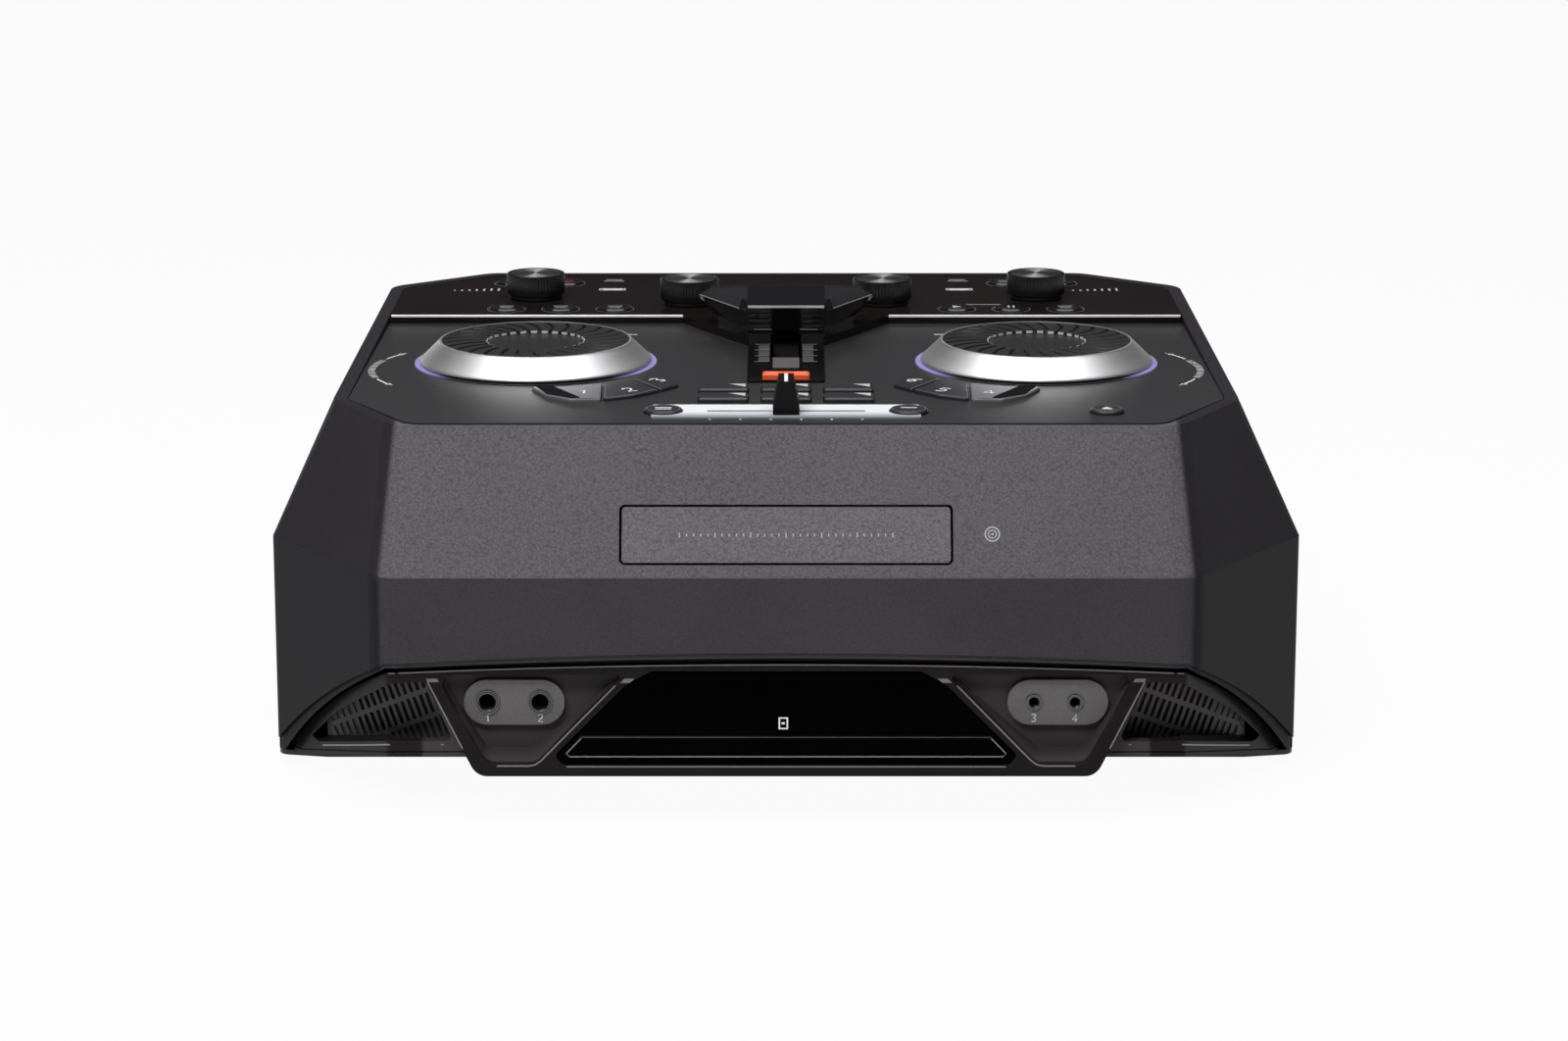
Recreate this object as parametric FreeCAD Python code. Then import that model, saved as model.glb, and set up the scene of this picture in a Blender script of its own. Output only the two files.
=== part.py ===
import FreeCAD, Part
import math
import os

V = FreeCAD.Vector

# Cabinet size and levels
WIDTH = 450.0
DEPTH = 380.0
FOOT_HEIGHT = 4.0
BASE_THICKNESS = 2.2
KINK_Z = 104.0
DECK_Z = 164.0
RIM_RISE = 4.0
PANEL_HEIGHT = 4.0
WALL = 3.0

# How far the cabinet has grown from its first size, so that every place follows it
WIDTH_SHARE = WIDTH / 450.0
DEPTH_SHARE = DEPTH / 380.0
LEVEL_SHARE = KINK_Z / 104.0
PLAN_SHARE = min(WIDTH_SHARE, DEPTH_SHARE)
FAR = WIDTH + DEPTH


def on_front(points):
    return [(x * WIDTH_SHARE, z * LEVEL_SHARE) for x, z in points]


def on_deck(points):
    return [(x * WIDTH_SHARE, y * DEPTH_SHARE) for x, y in points]


def scaled(points):
    return [(x * PLAN_SHARE, y * PLAN_SHARE) for x, y in points]


# Levels that follow the cabinet
BASE_TOP = FOOT_HEIGHT + BASE_THICKNESS
DECK_THICKNESS = 3.0
LEDGE_Z = DECK_Z - DECK_THICKNESS
PANEL_Z = DECK_Z + PANEL_HEIGHT
FACE_HEIGHT = DECK_Z - KINK_Z
REAR_Y = DEPTH / 2
LIP_Y = -DEPTH / 2

# Cabinet outline in plan, right half from front to rear
FRONT_HALF = 172.0 * WIDTH_SHARE
FRONT_Y = -182.0 * DEPTH_SHARE
FACET_Y = -105.5 * DEPTH_SHARE
REAR_FACET_Y = 150.0 * DEPTH_SHARE
REAR_HALF = 170.0 * WIDTH_SHARE
TOP_FRONT_HALF = 166.6 * WIDTH_SHARE
TOP_FRONT_Y = -153.0 * DEPTH_SHARE
TOP_SIDE_HALF = 197.6 * WIDTH_SHARE
TOP_SIDE_Y = -100.5 * DEPTH_SHARE
TOP_REAR_SIDE_HALF = 194.0 * WIDTH_SHARE
TOP_REAR_SIDE_Y = 155.5 * DEPTH_SHARE
TOP_REAR_HALF = 147.5 * WIDTH_SHARE
LOWER_RADII = [16.0, 7.0, 18.0, 18.0]
UPPER_RADII = [20.0, 14.0, 14.0, 14.0]

# Rim around the deck, the ledge under it and the seam behind the front cover
RIM_SIDE = 6.0
RIM_FRONT = 3.0
RIM_REAR = 4.0
RIM_CORNER = 12.0
LEDGE = 5.0
ROOF_THICKNESS = 6.0
FIT_GAP = 0.4
SEAM_Y = -101.0 * DEPTH_SHARE
SEAM_GROOVE = 0.7

# Base plate and feet
BASE_FRONT_HALF = 203.0 * WIDTH_SHARE
BASE_FRONT_GAP = 2.0
BASE_CORNER = 6.0
BASE_LIP_HEIGHT = 8.0
BASE_LIP_WALL = 1.6
BASE_LIP_FRONT_Y = -95.0 * DEPTH_SHARE
BASE_LIP_GAP = (150.0 * WIDTH_SHARE, 150.0 * DEPTH_SHARE)
VENT_COUNT = 9
VENT_START_X = 70.0 * PLAN_SHARE
VENT_PITCH = 10.0 * PLAN_SHARE
VENT_Y = 95.0 * PLAN_SHARE
VENT_SIZE = (4.0, 60.0 * PLAN_SHARE)
FOOT_X = WIDTH / 2 - 40.0
FOOT_Y = (-72.0 * DEPTH_SHARE, 132.0 * DEPTH_SHARE)
FOOT_RADIUS = 16.0

# Arched lower edge of the front cover and the frame inside it: side, wing, shoulder and crown points
HOOD_OUTER = on_front([(225.6, 11.0), (197.1, 45.0), (170.5, 66.4), (0.0, 71.5)])
HOOD_INNER = on_front([(222.5, 6.0), (197.6, 40.0), (170.0, 64.2), (0.0, 68.8)])
FRAME_TOP = on_front([(220.5, 6.0), (197.9, 36.7), (169.3, 61.2), (0.0, 65.1)])
HOOD_STEP = 1.4
FRAME_INSET = 6.0
FRAME_WALL = 3.0
FRAME_CORNER = 8.0
FRAME_BACK_GAP = 3.0
FLANGE_WALL = 2.5
FLANGE_RISE = 14.0
UNDER_START_Y = -110.0 * DEPTH_SHARE
UNDER_SLOPE = 0.272 * LEVEL_SHARE / DEPTH_SHARE
UNDER_FLOOR = 2.5
FRAME_GROOVE = 0.6
FRAME_GROOVE_RISE = 1.9

# Openings in the wings, corner points and the radius at each
WING_OPENING = on_front([(-208.6, 17.2), (-194.0, 35.0), (-168.5, 56.6), (-153.0, 57.2), (-141.9, 31.0),
                         (-169.2, 31.0), (-205.0, 15.8)])
WING_RADII = [1.2, 60.0, 8.0, 4.0, 2.2, 5.0, 3.0]

# Chin with the jack recesses and the display window
CHIN_TOP_Y = -174.0 * DEPTH_SHARE
CHIN_TOP_Z = 64.0 * LEVEL_SHARE
CHIN_LIP_Z = 19.6 * LEVEL_SHARE
CHIN_BACK_Y = -165.0 * DEPTH_SHARE
CHIN_HALF = [(131.2 * WIDTH_SHARE, CHIN_LIP_Z), (156.0 * WIDTH_SHARE, CHIN_TOP_Z - 1.0)]
CHIN_RADIUS = 8.0
CHIN_SLOPE = (CHIN_TOP_Y - LIP_Y) / (CHIN_TOP_Z - CHIN_LIP_Z)
CHIN_SKIN = 3.0
RECESS_FLOOR_Y = -168.0 * DEPTH_SHARE
RECESS_BACK = on_front([(69.0, 60.0), (148.0, 60.0), (127.5, 25.6), (108.5, 25.6)])
RECESS_FRONT = on_front([(66.6, 61.0), (150.8, 61.0), (126.8, 24.1), (105.1, 24.1)])
RECESS_RADII = [1.5, 4.0, 6.0, 6.0]
WINDOW = on_front([(57.3, 61.9), (68.5, 55.7), (98.5, 27.6), (94.5, 23.9)])
WINDOW_RADIUS = 2.4
WINDOW_DEPTH = 3.4
WINDOW_LENS = 2.6
WINDOW_BAR = on_front([(87.5, 35.4), (94.2, 28.8), (92.4, 27.0)])
WINDOW_BAR_RISE = 1.3
WINDOW_HOLLOW = 6.0

# Jack plates and jacks
PLATE_X = 115.9 * WIDTH_SHARE
PLATE_Z = 46.8 * LEVEL_SHARE
PLATE_LENGTH = 43.0 * WIDTH_SHARE
PLATE_HEIGHT = 19.9
PLATE_THICKNESS = 3.0
JACK_Z = 47.0 * LEVEL_SHARE
LARGE_JACKS = (-127.4 * WIDTH_SHARE, -104.9 * WIDTH_SHARE)
SMALL_JACKS = (105.7 * WIDTH_SHARE, 123.2 * WIDTH_SHARE)
LARGE_BORE = 3.25
SMALL_BORE = 1.8
LARGE_RING = 5.25
SMALL_RING = 3.5
JACK_WALL = 1.0
JACK_LENGTH = 24.0
JACK_FLOOR = 2.0
JACK_GAP = 0.2

# Side grilles behind the wing openings
GRILLE_OUTER = (-209.0 * WIDTH_SHARE, -117.0 * DEPTH_SHARE)
GRILLE_INNER = (-137.0 * WIDTH_SHARE, -160.3 * DEPTH_SHARE)
GRILLE_RUN = (GRILLE_INNER[0] - GRILLE_OUTER[0], GRILLE_INNER[1] - GRILLE_OUTER[1])
GRILLE_LENGTH = math.hypot(GRILLE_RUN[0], GRILLE_RUN[1])
GRILLE_ANGLE = math.degrees(math.atan2(GRILLE_RUN[1], GRILLE_RUN[0]))
GRILLE_HEIGHT = 75.0
GRILLE_THICKNESS = 2.0
GRILLE_MARGIN = 4.0
GRILLE_LAP = 6.0
SLOT_WIDTH = 1.8
SLOT_PITCH = 3.6
SLOT_LENGTH = 9.0
SLOT_BAR = 2.2
SLOT_LEAN = 24.0
SLOT_DEPTH_SHARE = 0.45
BLIND_LENGTH = 26.0

# Disc tray and loader
TRAY_HALF_OPENING = 70.5 * PLAN_SHARE
TRAY_OPENING_Z = (KINK_Z + 0.082 * FACE_HEIGHT, KINK_Z + 0.477 * FACE_HEIGHT)
TRAY_OPENING_CORNER = 2.2
DOOR_GAP = 1.1
DOOR_THICKNESS = 2.6
TRAY_HALF = 66.0 * PLAN_SHARE
TRAY_Z = (KINK_Z + 0.1 * FACE_HEIGHT, KINK_Z + 0.2333 * FACE_HEIGHT)
TRAY_REAR_Y = -26.0 * DEPTH_SHARE
DISC_RADIUS = 60.5 * PLAN_SHARE
SMALL_DISC_RADIUS = 40.8 * PLAN_SHARE
DISC_WELL_SHARE = 0.375
SMALL_DISC_WELL_SHARE = 0.525
DISC_Y = -107.0 * DEPTH_SHARE
PICKUP_SLOT = 18.0 * PLAN_SHARE
LOADER_HALF = 74.0 * PLAN_SHARE
LOADER_TOP_Z = KINK_Z + 0.5333 * FACE_HEIGHT
LOADER_REAR_Y = -20.0 * DEPTH_SHARE
LOADER_FRONT_Y = -158.0 * DEPTH_SHARE
LOADER_LEG_Y = (-94.0 * DEPTH_SHARE, -28.0 * DEPTH_SHARE)
LOADER_LEG_HALF = 4.0
LOADER_SHEET = 2.4
CLAMP_RADIUS = 15.0 * PLAN_SHARE
CLAMP_GAP = 4.0
SPINDLE_RADIUS = 14.0 * PLAN_SHARE
SPINDLE_RISE = 2.6
SLIDE_GAP = 0.1

# Jog wheels
JOG_X = 113.8 * WIDTH_SHARE
JOG_Y = -16.0 * DEPTH_SHARE
RING_RADIUS = 55.0 * PLAN_SHARE
RING_WIDTH = 5.0 * PLAN_SHARE
RING_DEPTH = 1.0
RING_RISE = 0.3
JOG_BASE_RADIUS = 52.5 * PLAN_SHARE
JOG_TOP_RADIUS = 43.7 * PLAN_SHARE
JOG_GAP = 1.0
JOG_HEIGHT = 10.6
JOG_FLOOR_DROP = 1.8
JOG_SHELF_DROP = 3.6
JOG_LIP = 1.0
JOG_HUB_RADIUS = 12.0 * PLAN_SHARE
VANE_COUNT = 28
VANE_INNER = 22.5 * PLAN_SHARE
VANE_SWEEP = 24.0
VANE_FILL = 0.86
VANE_TAPER = 0.78
SHAFT_RADIUS = 5.0
SHAFT_HOLE_GAP = 1.5
RUN_GAP = 0.05

# Keys around the jog wheels, outlines from the wheel's centre, left wheel
KEY_HEIGHT = 1.6
KEY_CORNER = 1.0
KEY_TAB_REACH = 12.4 * PLAN_SHARE
KEY_TAB_RADIUS = 3.6 * PLAN_SHARE
KEY_OUTLINES = [
    scaled([(1.5, -64.0), (15.6, -63.6), (32.4, -56.2), (33.2, -89.6), (19.7, -91.0), (8.8, -81.0)]),
    scaled([(33.6, -55.6), (45.0, -46.6), (57.6, -70.4), (47.5, -81.6), (34.4, -89.0)]),
    scaled([(45.9, -45.8), (58.6, -28.0), (66.2, -58.2), (58.5, -69.5)]),
]

# Fader and the buttons beside it
FADER_Y = -127.5 * DEPTH_SHARE
FADER_PLATE_HALF = 57.8 * PLAN_SHARE
FADER_PLATE_DEPTH = 27.0 * PLAN_SHARE
FADER_PLATE_RISE = 0.6
FADER_TRAVEL = 32.0 * PLAN_SHARE
FADER_BASE = (11.4 * PLAN_SHARE, 18.6 * PLAN_SHARE)
FADER_TOP = (6.5 * PLAN_SHARE, 17.6 * PLAN_SHARE)
FADER_FOOT = 3.0
FADER_HEIGHT = 14.4
FADER_STEM = (3.0, 2.6)
FADER_SLOT_GAP = 0.5
FADER_BUTTON_X = 52.8 * PLAN_SHARE
FADER_BUTTON_RADIUS = 8.3 * PLAN_SHARE
TRAY_BUTTON = (138.0 * WIDTH_SHARE, FADER_Y)
TRAY_BUTTON_RADIUS = 7.2 * PLAN_SHARE
DECK_BUTTON_HEIGHT = 1.8

# Pads, gate and lever in the middle of the deck
PAD_PITCH = 27.4 * PLAN_SHARE
PAD_ROWS = (-80.5 * DEPTH_SHARE, -100.5 * DEPTH_SHARE)
PAD_SIZE = (21.6 * PLAN_SHARE, 13.6 * PLAN_SHARE)
PAD_HEIGHT = 1.8
PAD_CORNER = 1.0
GATE_HALF = 17.4 * PLAN_SHARE
GATE_Y = (-64.0 * PLAN_SHARE, 61.0 * PLAN_SHARE)
GATE_THICKNESS = 1.2
GATE_SLOT_HALF = 7.0 * PLAN_SHARE
GATE_SLOT_Y = (-12.0 * PLAN_SHARE, 46.0 * PLAN_SHARE)
GATE_LENS = (6.0 * PLAN_SHARE, 24.0 * PLAN_SHARE)
LADDER_Y = (-28.0 * PLAN_SHARE, 14.0 * PLAN_SHARE)
LADDER_WIDTH = 5.2 * PLAN_SHARE
LADDER_RUNGS = 4
RUNG_REACH = 7.0 * PLAN_SHARE
RUNG_HALF = 0.5
RED_SIZE = (21.0 * PLAN_SHARE, 7.2 * PLAN_SHARE)
RED_Y = -58.8 * PLAN_SHARE
RED_HEIGHT = 2.4
PIVOT_Y = 8.0 * PLAN_SHARE
PIVOT_DROP = 59.0
PIVOT_Z = DECK_Z - PIVOT_DROP
PIN_RADIUS = 3.0
HUB_RADIUS = 10.0
ARM_HALF = 5.8 * PLAN_SHARE
ARM_DEPTH = 7.0 * PLAN_SHARE
ARM_REACH = 29.0 * PLAN_SHARE
HANDLE_RISE = 8.0
HANDLE_HEIGHT = 12.5
HANDLE_BOTTOM_Z = DECK_Z + HANDLE_RISE
HANDLE_TOP_Z = HANDLE_BOTTOM_Z + HANDLE_HEIGHT
HANDLE_HALF = 18.0 * PLAN_SHARE
HANDLE_FRONT_Y = (17.0 * PLAN_SHARE, 13.0 * PLAN_SHARE)
HANDLE_REAR_Y = (55.0 * PLAN_SHARE, 60.0 * PLAN_SHARE, 58.0 * PLAN_SHARE)
HANDLE_HEEL = 3.0
HANDLE_CROWN = 1.5
WING_UNDER = scaled([(17.5, 25.0), (22.0, 26.0), (34.0, 56.0), (31.0, 61.0), (17.5, 62.0)])
WING_BROW = scaled([(17.5, 19.5), (20.5, 19.5), (42.0, 60.0), (38.5, 66.0), (17.5, 66.0)])
WING_CREST = scaled([(17.5, 28.0), (19.5, 28.0), (36.0, 61.5), (35.0, 64.5), (17.5, 64.5)])
WING_DROP = 1.0
BROW_DROP = 3.0
RIB_X = 12.0 * PLAN_SHARE
RIB_HALF = 5.0 * PLAN_SHARE
RIB_COUNT = 3
RIB_START = 3.4
RIB_PITCH = 2.6
RIB_DEPTH = 0.8
CHEEK_SHEET = 3.0
CHEEK_GAP = 0.3
CHEEK_FOOT = 13.0
CHEEK_Y = (-6.0 * PLAN_SHARE, 22.0 * PLAN_SHARE, 40.0 * PLAN_SHARE, -14.0 * PLAN_SHARE)

# Raised rear panel with knobs, buttons and sockets
PANEL_FRONT_Y = 78.0 * DEPTH_SHARE
DECK_REAR_Y = 84.0 * DEPTH_SHARE
PANEL_SKIN = 2.0
BULGE_HALF = 49.0 * PLAN_SHARE
BULGE_MID = (33.0 * PLAN_SHARE, 49.0 * PLAN_SHARE)
BULGE_FRONT_Y = 22.0 * PLAN_SHARE
TRIM_DEPTH = 1.0
TRIM_HEIGHT = 1.2
TRIM_RISE = 0.2
TRIM_END_GAP = 1.0
OUTER_KNOB = (121.5 * WIDTH_SHARE, 125.0 * DEPTH_SHARE)
INNER_KNOB = (46.5 * WIDTH_SHARE, 110.0 * DEPTH_SHARE)
KNOB_RADIUS = 14.0 * PLAN_SHARE
KNOB_HEIGHT = 12.0
KNOB_COLLAR = 2.0
KNOB_STEP = 1.6
KNOB_DISH = 0.9
KNOB_FLUTES = 40
FLUTE_DEPTH = 0.5
KNOB_SHAFT = 3.0
KNOB_GAP = 0.3
BUTTON_RADIUS = 8.2 * PLAN_SHARE
BUTTON_HEIGHT = 1.2
FRONT_ROW = on_deck([(82.0, 94.0), (108.0, 94.0), (134.0, 94.0)])
REAR_ROW = on_deck([(108.4, 163.5), (135.0, 163.5)])
USB_PLACE = (85.2 * WIDTH_SHARE, 147.0 * DEPTH_SHARE)
USB_SIZE = (12.4, 4.8)
USB_WALL = 0.6
USB_DEPTH = 12.0
USB_TONGUE = (4.8, 0.1, 1.2)

# Push buttons and the boards below them
HOLE_GAP = 0.35
HOLE_CORNER = 1.2
FLANGE_REACH = 1.2
FLANGE_THICKNESS = 1.4
CAP_CHAMFER = 0.5
PLUNGER_DROP = 9.8
PLUNGER_Z = DECK_Z - PLUNGER_DROP
BOARD_DROP = 14.0
BOARD_Z = DECK_Z - BOARD_DROP
BOARD_THICKNESS = 1.6
BOARD_TOP = BOARD_Z + BOARD_THICKNESS
BOARD_CORNER = 3.0
SWITCH_HEIGHT = 2.4
SWITCH_Z = BOARD_Z + SWITCH_HEIGHT
SWITCH_RADIUS = 2.6
STEM_RADIUS = 2.0
POST_RADIUS = 3.0
FRONT_BOARD = (-90.0 * DEPTH_SHARE, 292.0 * WIDTH_SHARE, 108.0 * DEPTH_SHARE)
FRONT_POSTS = on_deck([(142.0, -60.0), (100.0, -137.0), (26.0, -50.0)])
REAR_BOARD = (95.0 * WIDTH_SHARE, 131.0 * DEPTH_SHARE, 132.0 * WIDTH_SHARE, 88.0 * DEPTH_SHARE)
REAR_POSTS = on_deck([(66.0, 126.0), (154.0, 108.0), (66.0, 168.0)])
TRACK_HALF = 42.0 * PLAN_SHARE
TRACK_DEPTH = 6.0
TRACK_SLOT = (37.0 * PLAN_SHARE, 2.2)
TRACK_FLOOR = 3.5
TRACK_DROP = 5.5
KNOB_HOUSING = (8.0, 9.0)
KNOB_BUSH = 4.8
KNOB_SHAFT_LIFT = 3.6
KNOB_SHAFT_Z = BOARD_Z + KNOB_SHAFT_LIFT
SHAFT_END_GAP = 0.4
JOG_BUSH = 9.5

# Main board with its transformer, heat sink and capacitors
MAIN_BOARD = (85.0 * PLAN_SHARE, 240.0 * PLAN_SHARE, 150.0 * PLAN_SHARE)
STANDOFF = 8.0
STANDOFF_RADIUS = 4.0
STANDOFF_INSET = 8.0
TRANSFORMER = (-74.0 * PLAN_SHARE, 50.0 * PLAN_SHARE, 52.0 * PLAN_SHARE, 50.0 * PLAN_SHARE, 44.0)
SINK_PLACE = (20.0 * PLAN_SHARE, 60.0 * PLAN_SHARE)
SINK_SIZE = (80.0 * PLAN_SHARE, 6.0, 60.0)
FIN_COUNT = 9
FIN_SIZE = (3.0, 26.0 * PLAN_SHARE)
CAPACITORS = scaled([(-90.0, 105.0), (-66.0, 105.0), (-42.0, 105.0)])
CAPACITOR_SIZE = (10.0 * PLAN_SHARE, 35.0)

# Rear panel and its sockets
REAR_OPENING_HALF = 134.0 * WIDTH_SHARE
REAR_OPENING_Z = (18.0, 94.0)
REAR_LAP = 6.0
REAR_SHEET = 1.5
SPEAKER_X = [(30.0 + i * 24.0) * WIDTH_SHARE for i in range(4)]
SPEAKER_Z = (42.0, 66.0)
SPEAKER_RADIUS = 6.0
LINE_X = (-52.0 * WIDTH_SHARE, -30.0 * WIDTH_SHARE)
LINE_Z = (42.0, 58.0)
LINE_RADIUS = 4.4
SOCKET_BORE = 1.8
SOCKET_DEPTH = 8.0
SOCKET_RISE = 2.4
SOCKET_NECK = 2.0
INLET_X = -104.0 * WIDTH_SHARE
INLET_Z = 49.0
INLET_FLANGE = (31.0, 21.0)
INLET_BODY = (24.0, 14.0)
INLET_MOUTH = (20.0, 10.0)
INLET_DEPTH = 11.0
INLET_PIN = (1.2, 9.0, 4.3)
PANEL_SLOT_COUNT = 22
PANEL_SLOT_X = -116.0 * WIDTH_SHARE
PANEL_SLOT_PITCH = 11.0 * WIDTH_SHARE
PANEL_SLOT_SIZE = (3.5, 12.0)
PANEL_SLOT_Z = 84.0


# Outline helpers
def mirrored_plan(right):
    return right + [(-x, y) for x, y in reversed(right)]


def inset(points, gaps):
    count = len(points)
    lines = []
    for i in range(count):
        ax, ay = points[i]
        bx, by = points[(i + 1) % count]
        length = math.hypot(bx - ax, by - ay)
        dx = (bx - ax) / length
        dy = (by - ay) / length
        lines.append((ax - dy * gaps[i], ay + dx * gaps[i], dx, dy))
    corners = []
    for i in range(count):
        px, py, pdx, pdy = lines[i - 1]
        qx, qy, qdx, qdy = lines[i]
        t = ((qx - px) * qdy - (qy - py) * qdx) / (pdx * qdy - pdy * qdx)
        corners.append((px + pdx * t, py + pdy * t))
    return corners


def even_inset(points, gap):
    turn = sum(a[0] * b[1] - b[0] * a[1] for a, b in zip(points, points[1:] + points[:1]))
    ordered = points if turn > 0 else points[::-1]
    return inset(ordered, [gap] * len(ordered))


def rounded_corner(before, point, after, radius):
    ax = before[0] - point[0]
    ay = before[1] - point[1]
    bx = after[0] - point[0]
    by = after[1] - point[1]
    la = math.hypot(ax, ay)
    lb = math.hypot(bx, by)
    half = math.acos(max(-1.0, min(1.0, (ax * bx + ay * by) / (la * lb)))) / 2
    reach = radius / math.tan(half)
    mx = ax / la + bx / lb
    my = ay / la + by / lb
    bulge = (radius / math.sin(half) - radius) / math.hypot(mx, my)
    start = (point[0] + ax / la * reach, point[1] + ay / la * reach)
    middle_point = (point[0] + mx * bulge, point[1] + my * bulge)
    end = (point[0] + bx / lb * reach, point[1] + by / lb * reach)
    return start, middle_point, end


def rounded_wire(points, radii, place):
    count = len(points)
    corners = []
    for i in range(count):
        corners.append(rounded_corner(points[i - 1], points[i], points[(i + 1) % count], radii[i]))
    edges = []
    for i in range(count):
        start, middle_point, end = corners[i]
        following = corners[(i + 1) % count][0]
        edges.append(Part.Arc(place(*start), place(*middle_point), place(*end)).toShape())
        if math.hypot(following[0] - end[0], following[1] - end[1]) > 1e-6:
            edges.append(Part.makeLine(place(*end), place(*following)))
    return Part.Wire(edges)


def polygon_wire(points, place):
    corners = [place(*p) for p in points]
    return Part.makePolygon(corners + corners[:1])


# Solid helpers
def prism(points, radius, z0, z1):
    wire = rounded_wire(points, [radius] * len(points), lambda x, y: V(x, y, z0))
    return Part.Face(wire).extrude(V(0, 0, z1 - z0))


def front_shape(points, radii, y0, y1):
    wire = rounded_wire(points, radii, lambda x, z: V(x, y0, z))
    return Part.Face(wire).extrude(V(0, y1 - y0, 0))


def front_prism(points, radius, y0, y1):
    return front_shape(points, [radius] * len(points), y0, y1)


def side_prism(points, x0, x1):
    wire = polygon_wire(points, lambda y, z: V(x0, y, z))
    return Part.Face(wire).extrude(V(x1 - x0, 0, 0))


def box(x0, x1, y0, y1, z0, z1):
    return Part.makeBox(abs(x1 - x0), y1 - y0, z1 - z0, V(min(x0, x1), y0, z0))


def cylinder(x, y, radius, z0, z1):
    return Part.makeCylinder(radius, z1 - z0, V(x, y, z0))


def forward_cylinder(x, z, radius, y0, y1):
    return Part.makeCylinder(radius, y1 - y0, V(x, y0, z), V(0, 1, 0))


def cross_cylinder(radius, half):
    return Part.makeCylinder(radius, half * 2, V(-half, PIVOT_Y, PIVOT_Z), V(1, 0, 0))


def turned(profile, x, y):
    wire = polygon_wire(profile, lambda r, z: V(x + r, y, z))
    return Part.Face(wire).revolve(V(x, y, 0), V(0, 0, 1), 360)


def turned_forward(profile, x, z):
    wire = polygon_wire(profile, lambda r, y: V(x + r, y, z))
    return Part.Face(wire).revolve(V(x, 0, z), V(0, 1, 0), 360)


def in_front_of(y):
    return box(-FAR, FAR, -FAR, y, -FAR, FAR)


def behind(y):
    return box(-FAR, FAR, y, FAR, -FAR, FAR)


def above(z):
    return box(-FAR, FAR, -FAR, FAR, z, FAR)


def fused(shapes):
    return shapes[0].multiFuse(shapes[1:]).removeSplitter()


def mirror(shape):
    return shape.mirror(V(0, 0, 0), V(1, 0, 0))


def rectangle(x, y, width, depth):
    return [(x - width / 2, y - depth / 2), (x + width / 2, y - depth / 2),
            (x + width / 2, y + depth / 2), (x - width / 2, y + depth / 2)]


def save(node, shapes):
    solids = []
    for shape in shapes:
        solids.extend(shape.Solids)
    whole = solids[0] if len(solids) == 1 else Part.makeCompound(solids)
    whole.exportStep("parts/" + node + ".step")


# Cabinet envelope
LOWER_PLAN = mirrored_plan([(FRONT_HALF, FRONT_Y), (WIDTH / 2, FACET_Y), (WIDTH / 2, REAR_FACET_Y),
                            (REAR_HALF, REAR_Y)])
UPPER_PLAN = mirrored_plan([(TOP_FRONT_HALF, TOP_FRONT_Y), (TOP_SIDE_HALF, TOP_SIDE_Y),
                            (TOP_REAR_SIDE_HALF, TOP_REAR_SIDE_Y), (TOP_REAR_HALF, REAR_Y)])


def rim_z(y):
    return DECK_Z + RIM_RISE * (y - TOP_SIDE_Y) / (TOP_REAR_SIDE_Y - TOP_SIDE_Y)


def plan_radii(radii, gap):
    right = [max(r - gap, 1.0) for r in radii]
    return right + right[::-1]


def envelope(gap):
    low = even_inset(LOWER_PLAN, gap)
    top = even_inset(UPPER_PLAN, gap)
    low_radii = plan_radii(LOWER_RADII, gap)
    foot = rounded_wire(low, low_radii, lambda x, y: V(x, y, BASE_TOP))
    kink = rounded_wire(low, low_radii, lambda x, y: V(x, y, KINK_Z))
    rim = rounded_wire(top, plan_radii(UPPER_RADII, gap), lambda x, y: V(x, y, rim_z(y)))
    lower = Part.Face(foot).extrude(V(0, 0, KINK_Z - BASE_TOP))
    upper = Part.makeLoft([kink, rim], True, True)
    return lower.fuse(upper)


def rim_opening(extra):
    gaps = [RIM_SIDE, RIM_SIDE, RIM_SIDE, RIM_REAR, RIM_SIDE, RIM_SIDE, RIM_SIDE, RIM_FRONT]
    return inset(UPPER_PLAN, [g + extra for g in gaps])


def rim_opening_half(y, extra):
    share = (y - TOP_SIDE_Y) / (TOP_REAR_SIDE_Y - TOP_SIDE_Y)
    return TOP_SIDE_HALF + (TOP_REAR_SIDE_HALF - TOP_SIDE_HALF) * share - RIM_SIDE - extra


def cabinet_shell():
    roof_z = DECK_Z - ROOF_THICKNESS
    shell = envelope(0.0).cut(envelope(WALL).cut(above(roof_z)))
    deck_seat = prism(rim_opening(0.0), RIM_CORNER, LEDGE_Z, FAR).cut(behind(DECK_REAR_Y + FIT_GAP))
    panel_seat = prism(rim_opening(0.0), RIM_CORNER, DECK_Z, FAR)
    through = prism(rim_opening(LEDGE), RIM_CORNER - LEDGE + 1.0, KINK_Z, FAR)
    return shell.cut(deck_seat).cut(panel_seat).cut(through)


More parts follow.
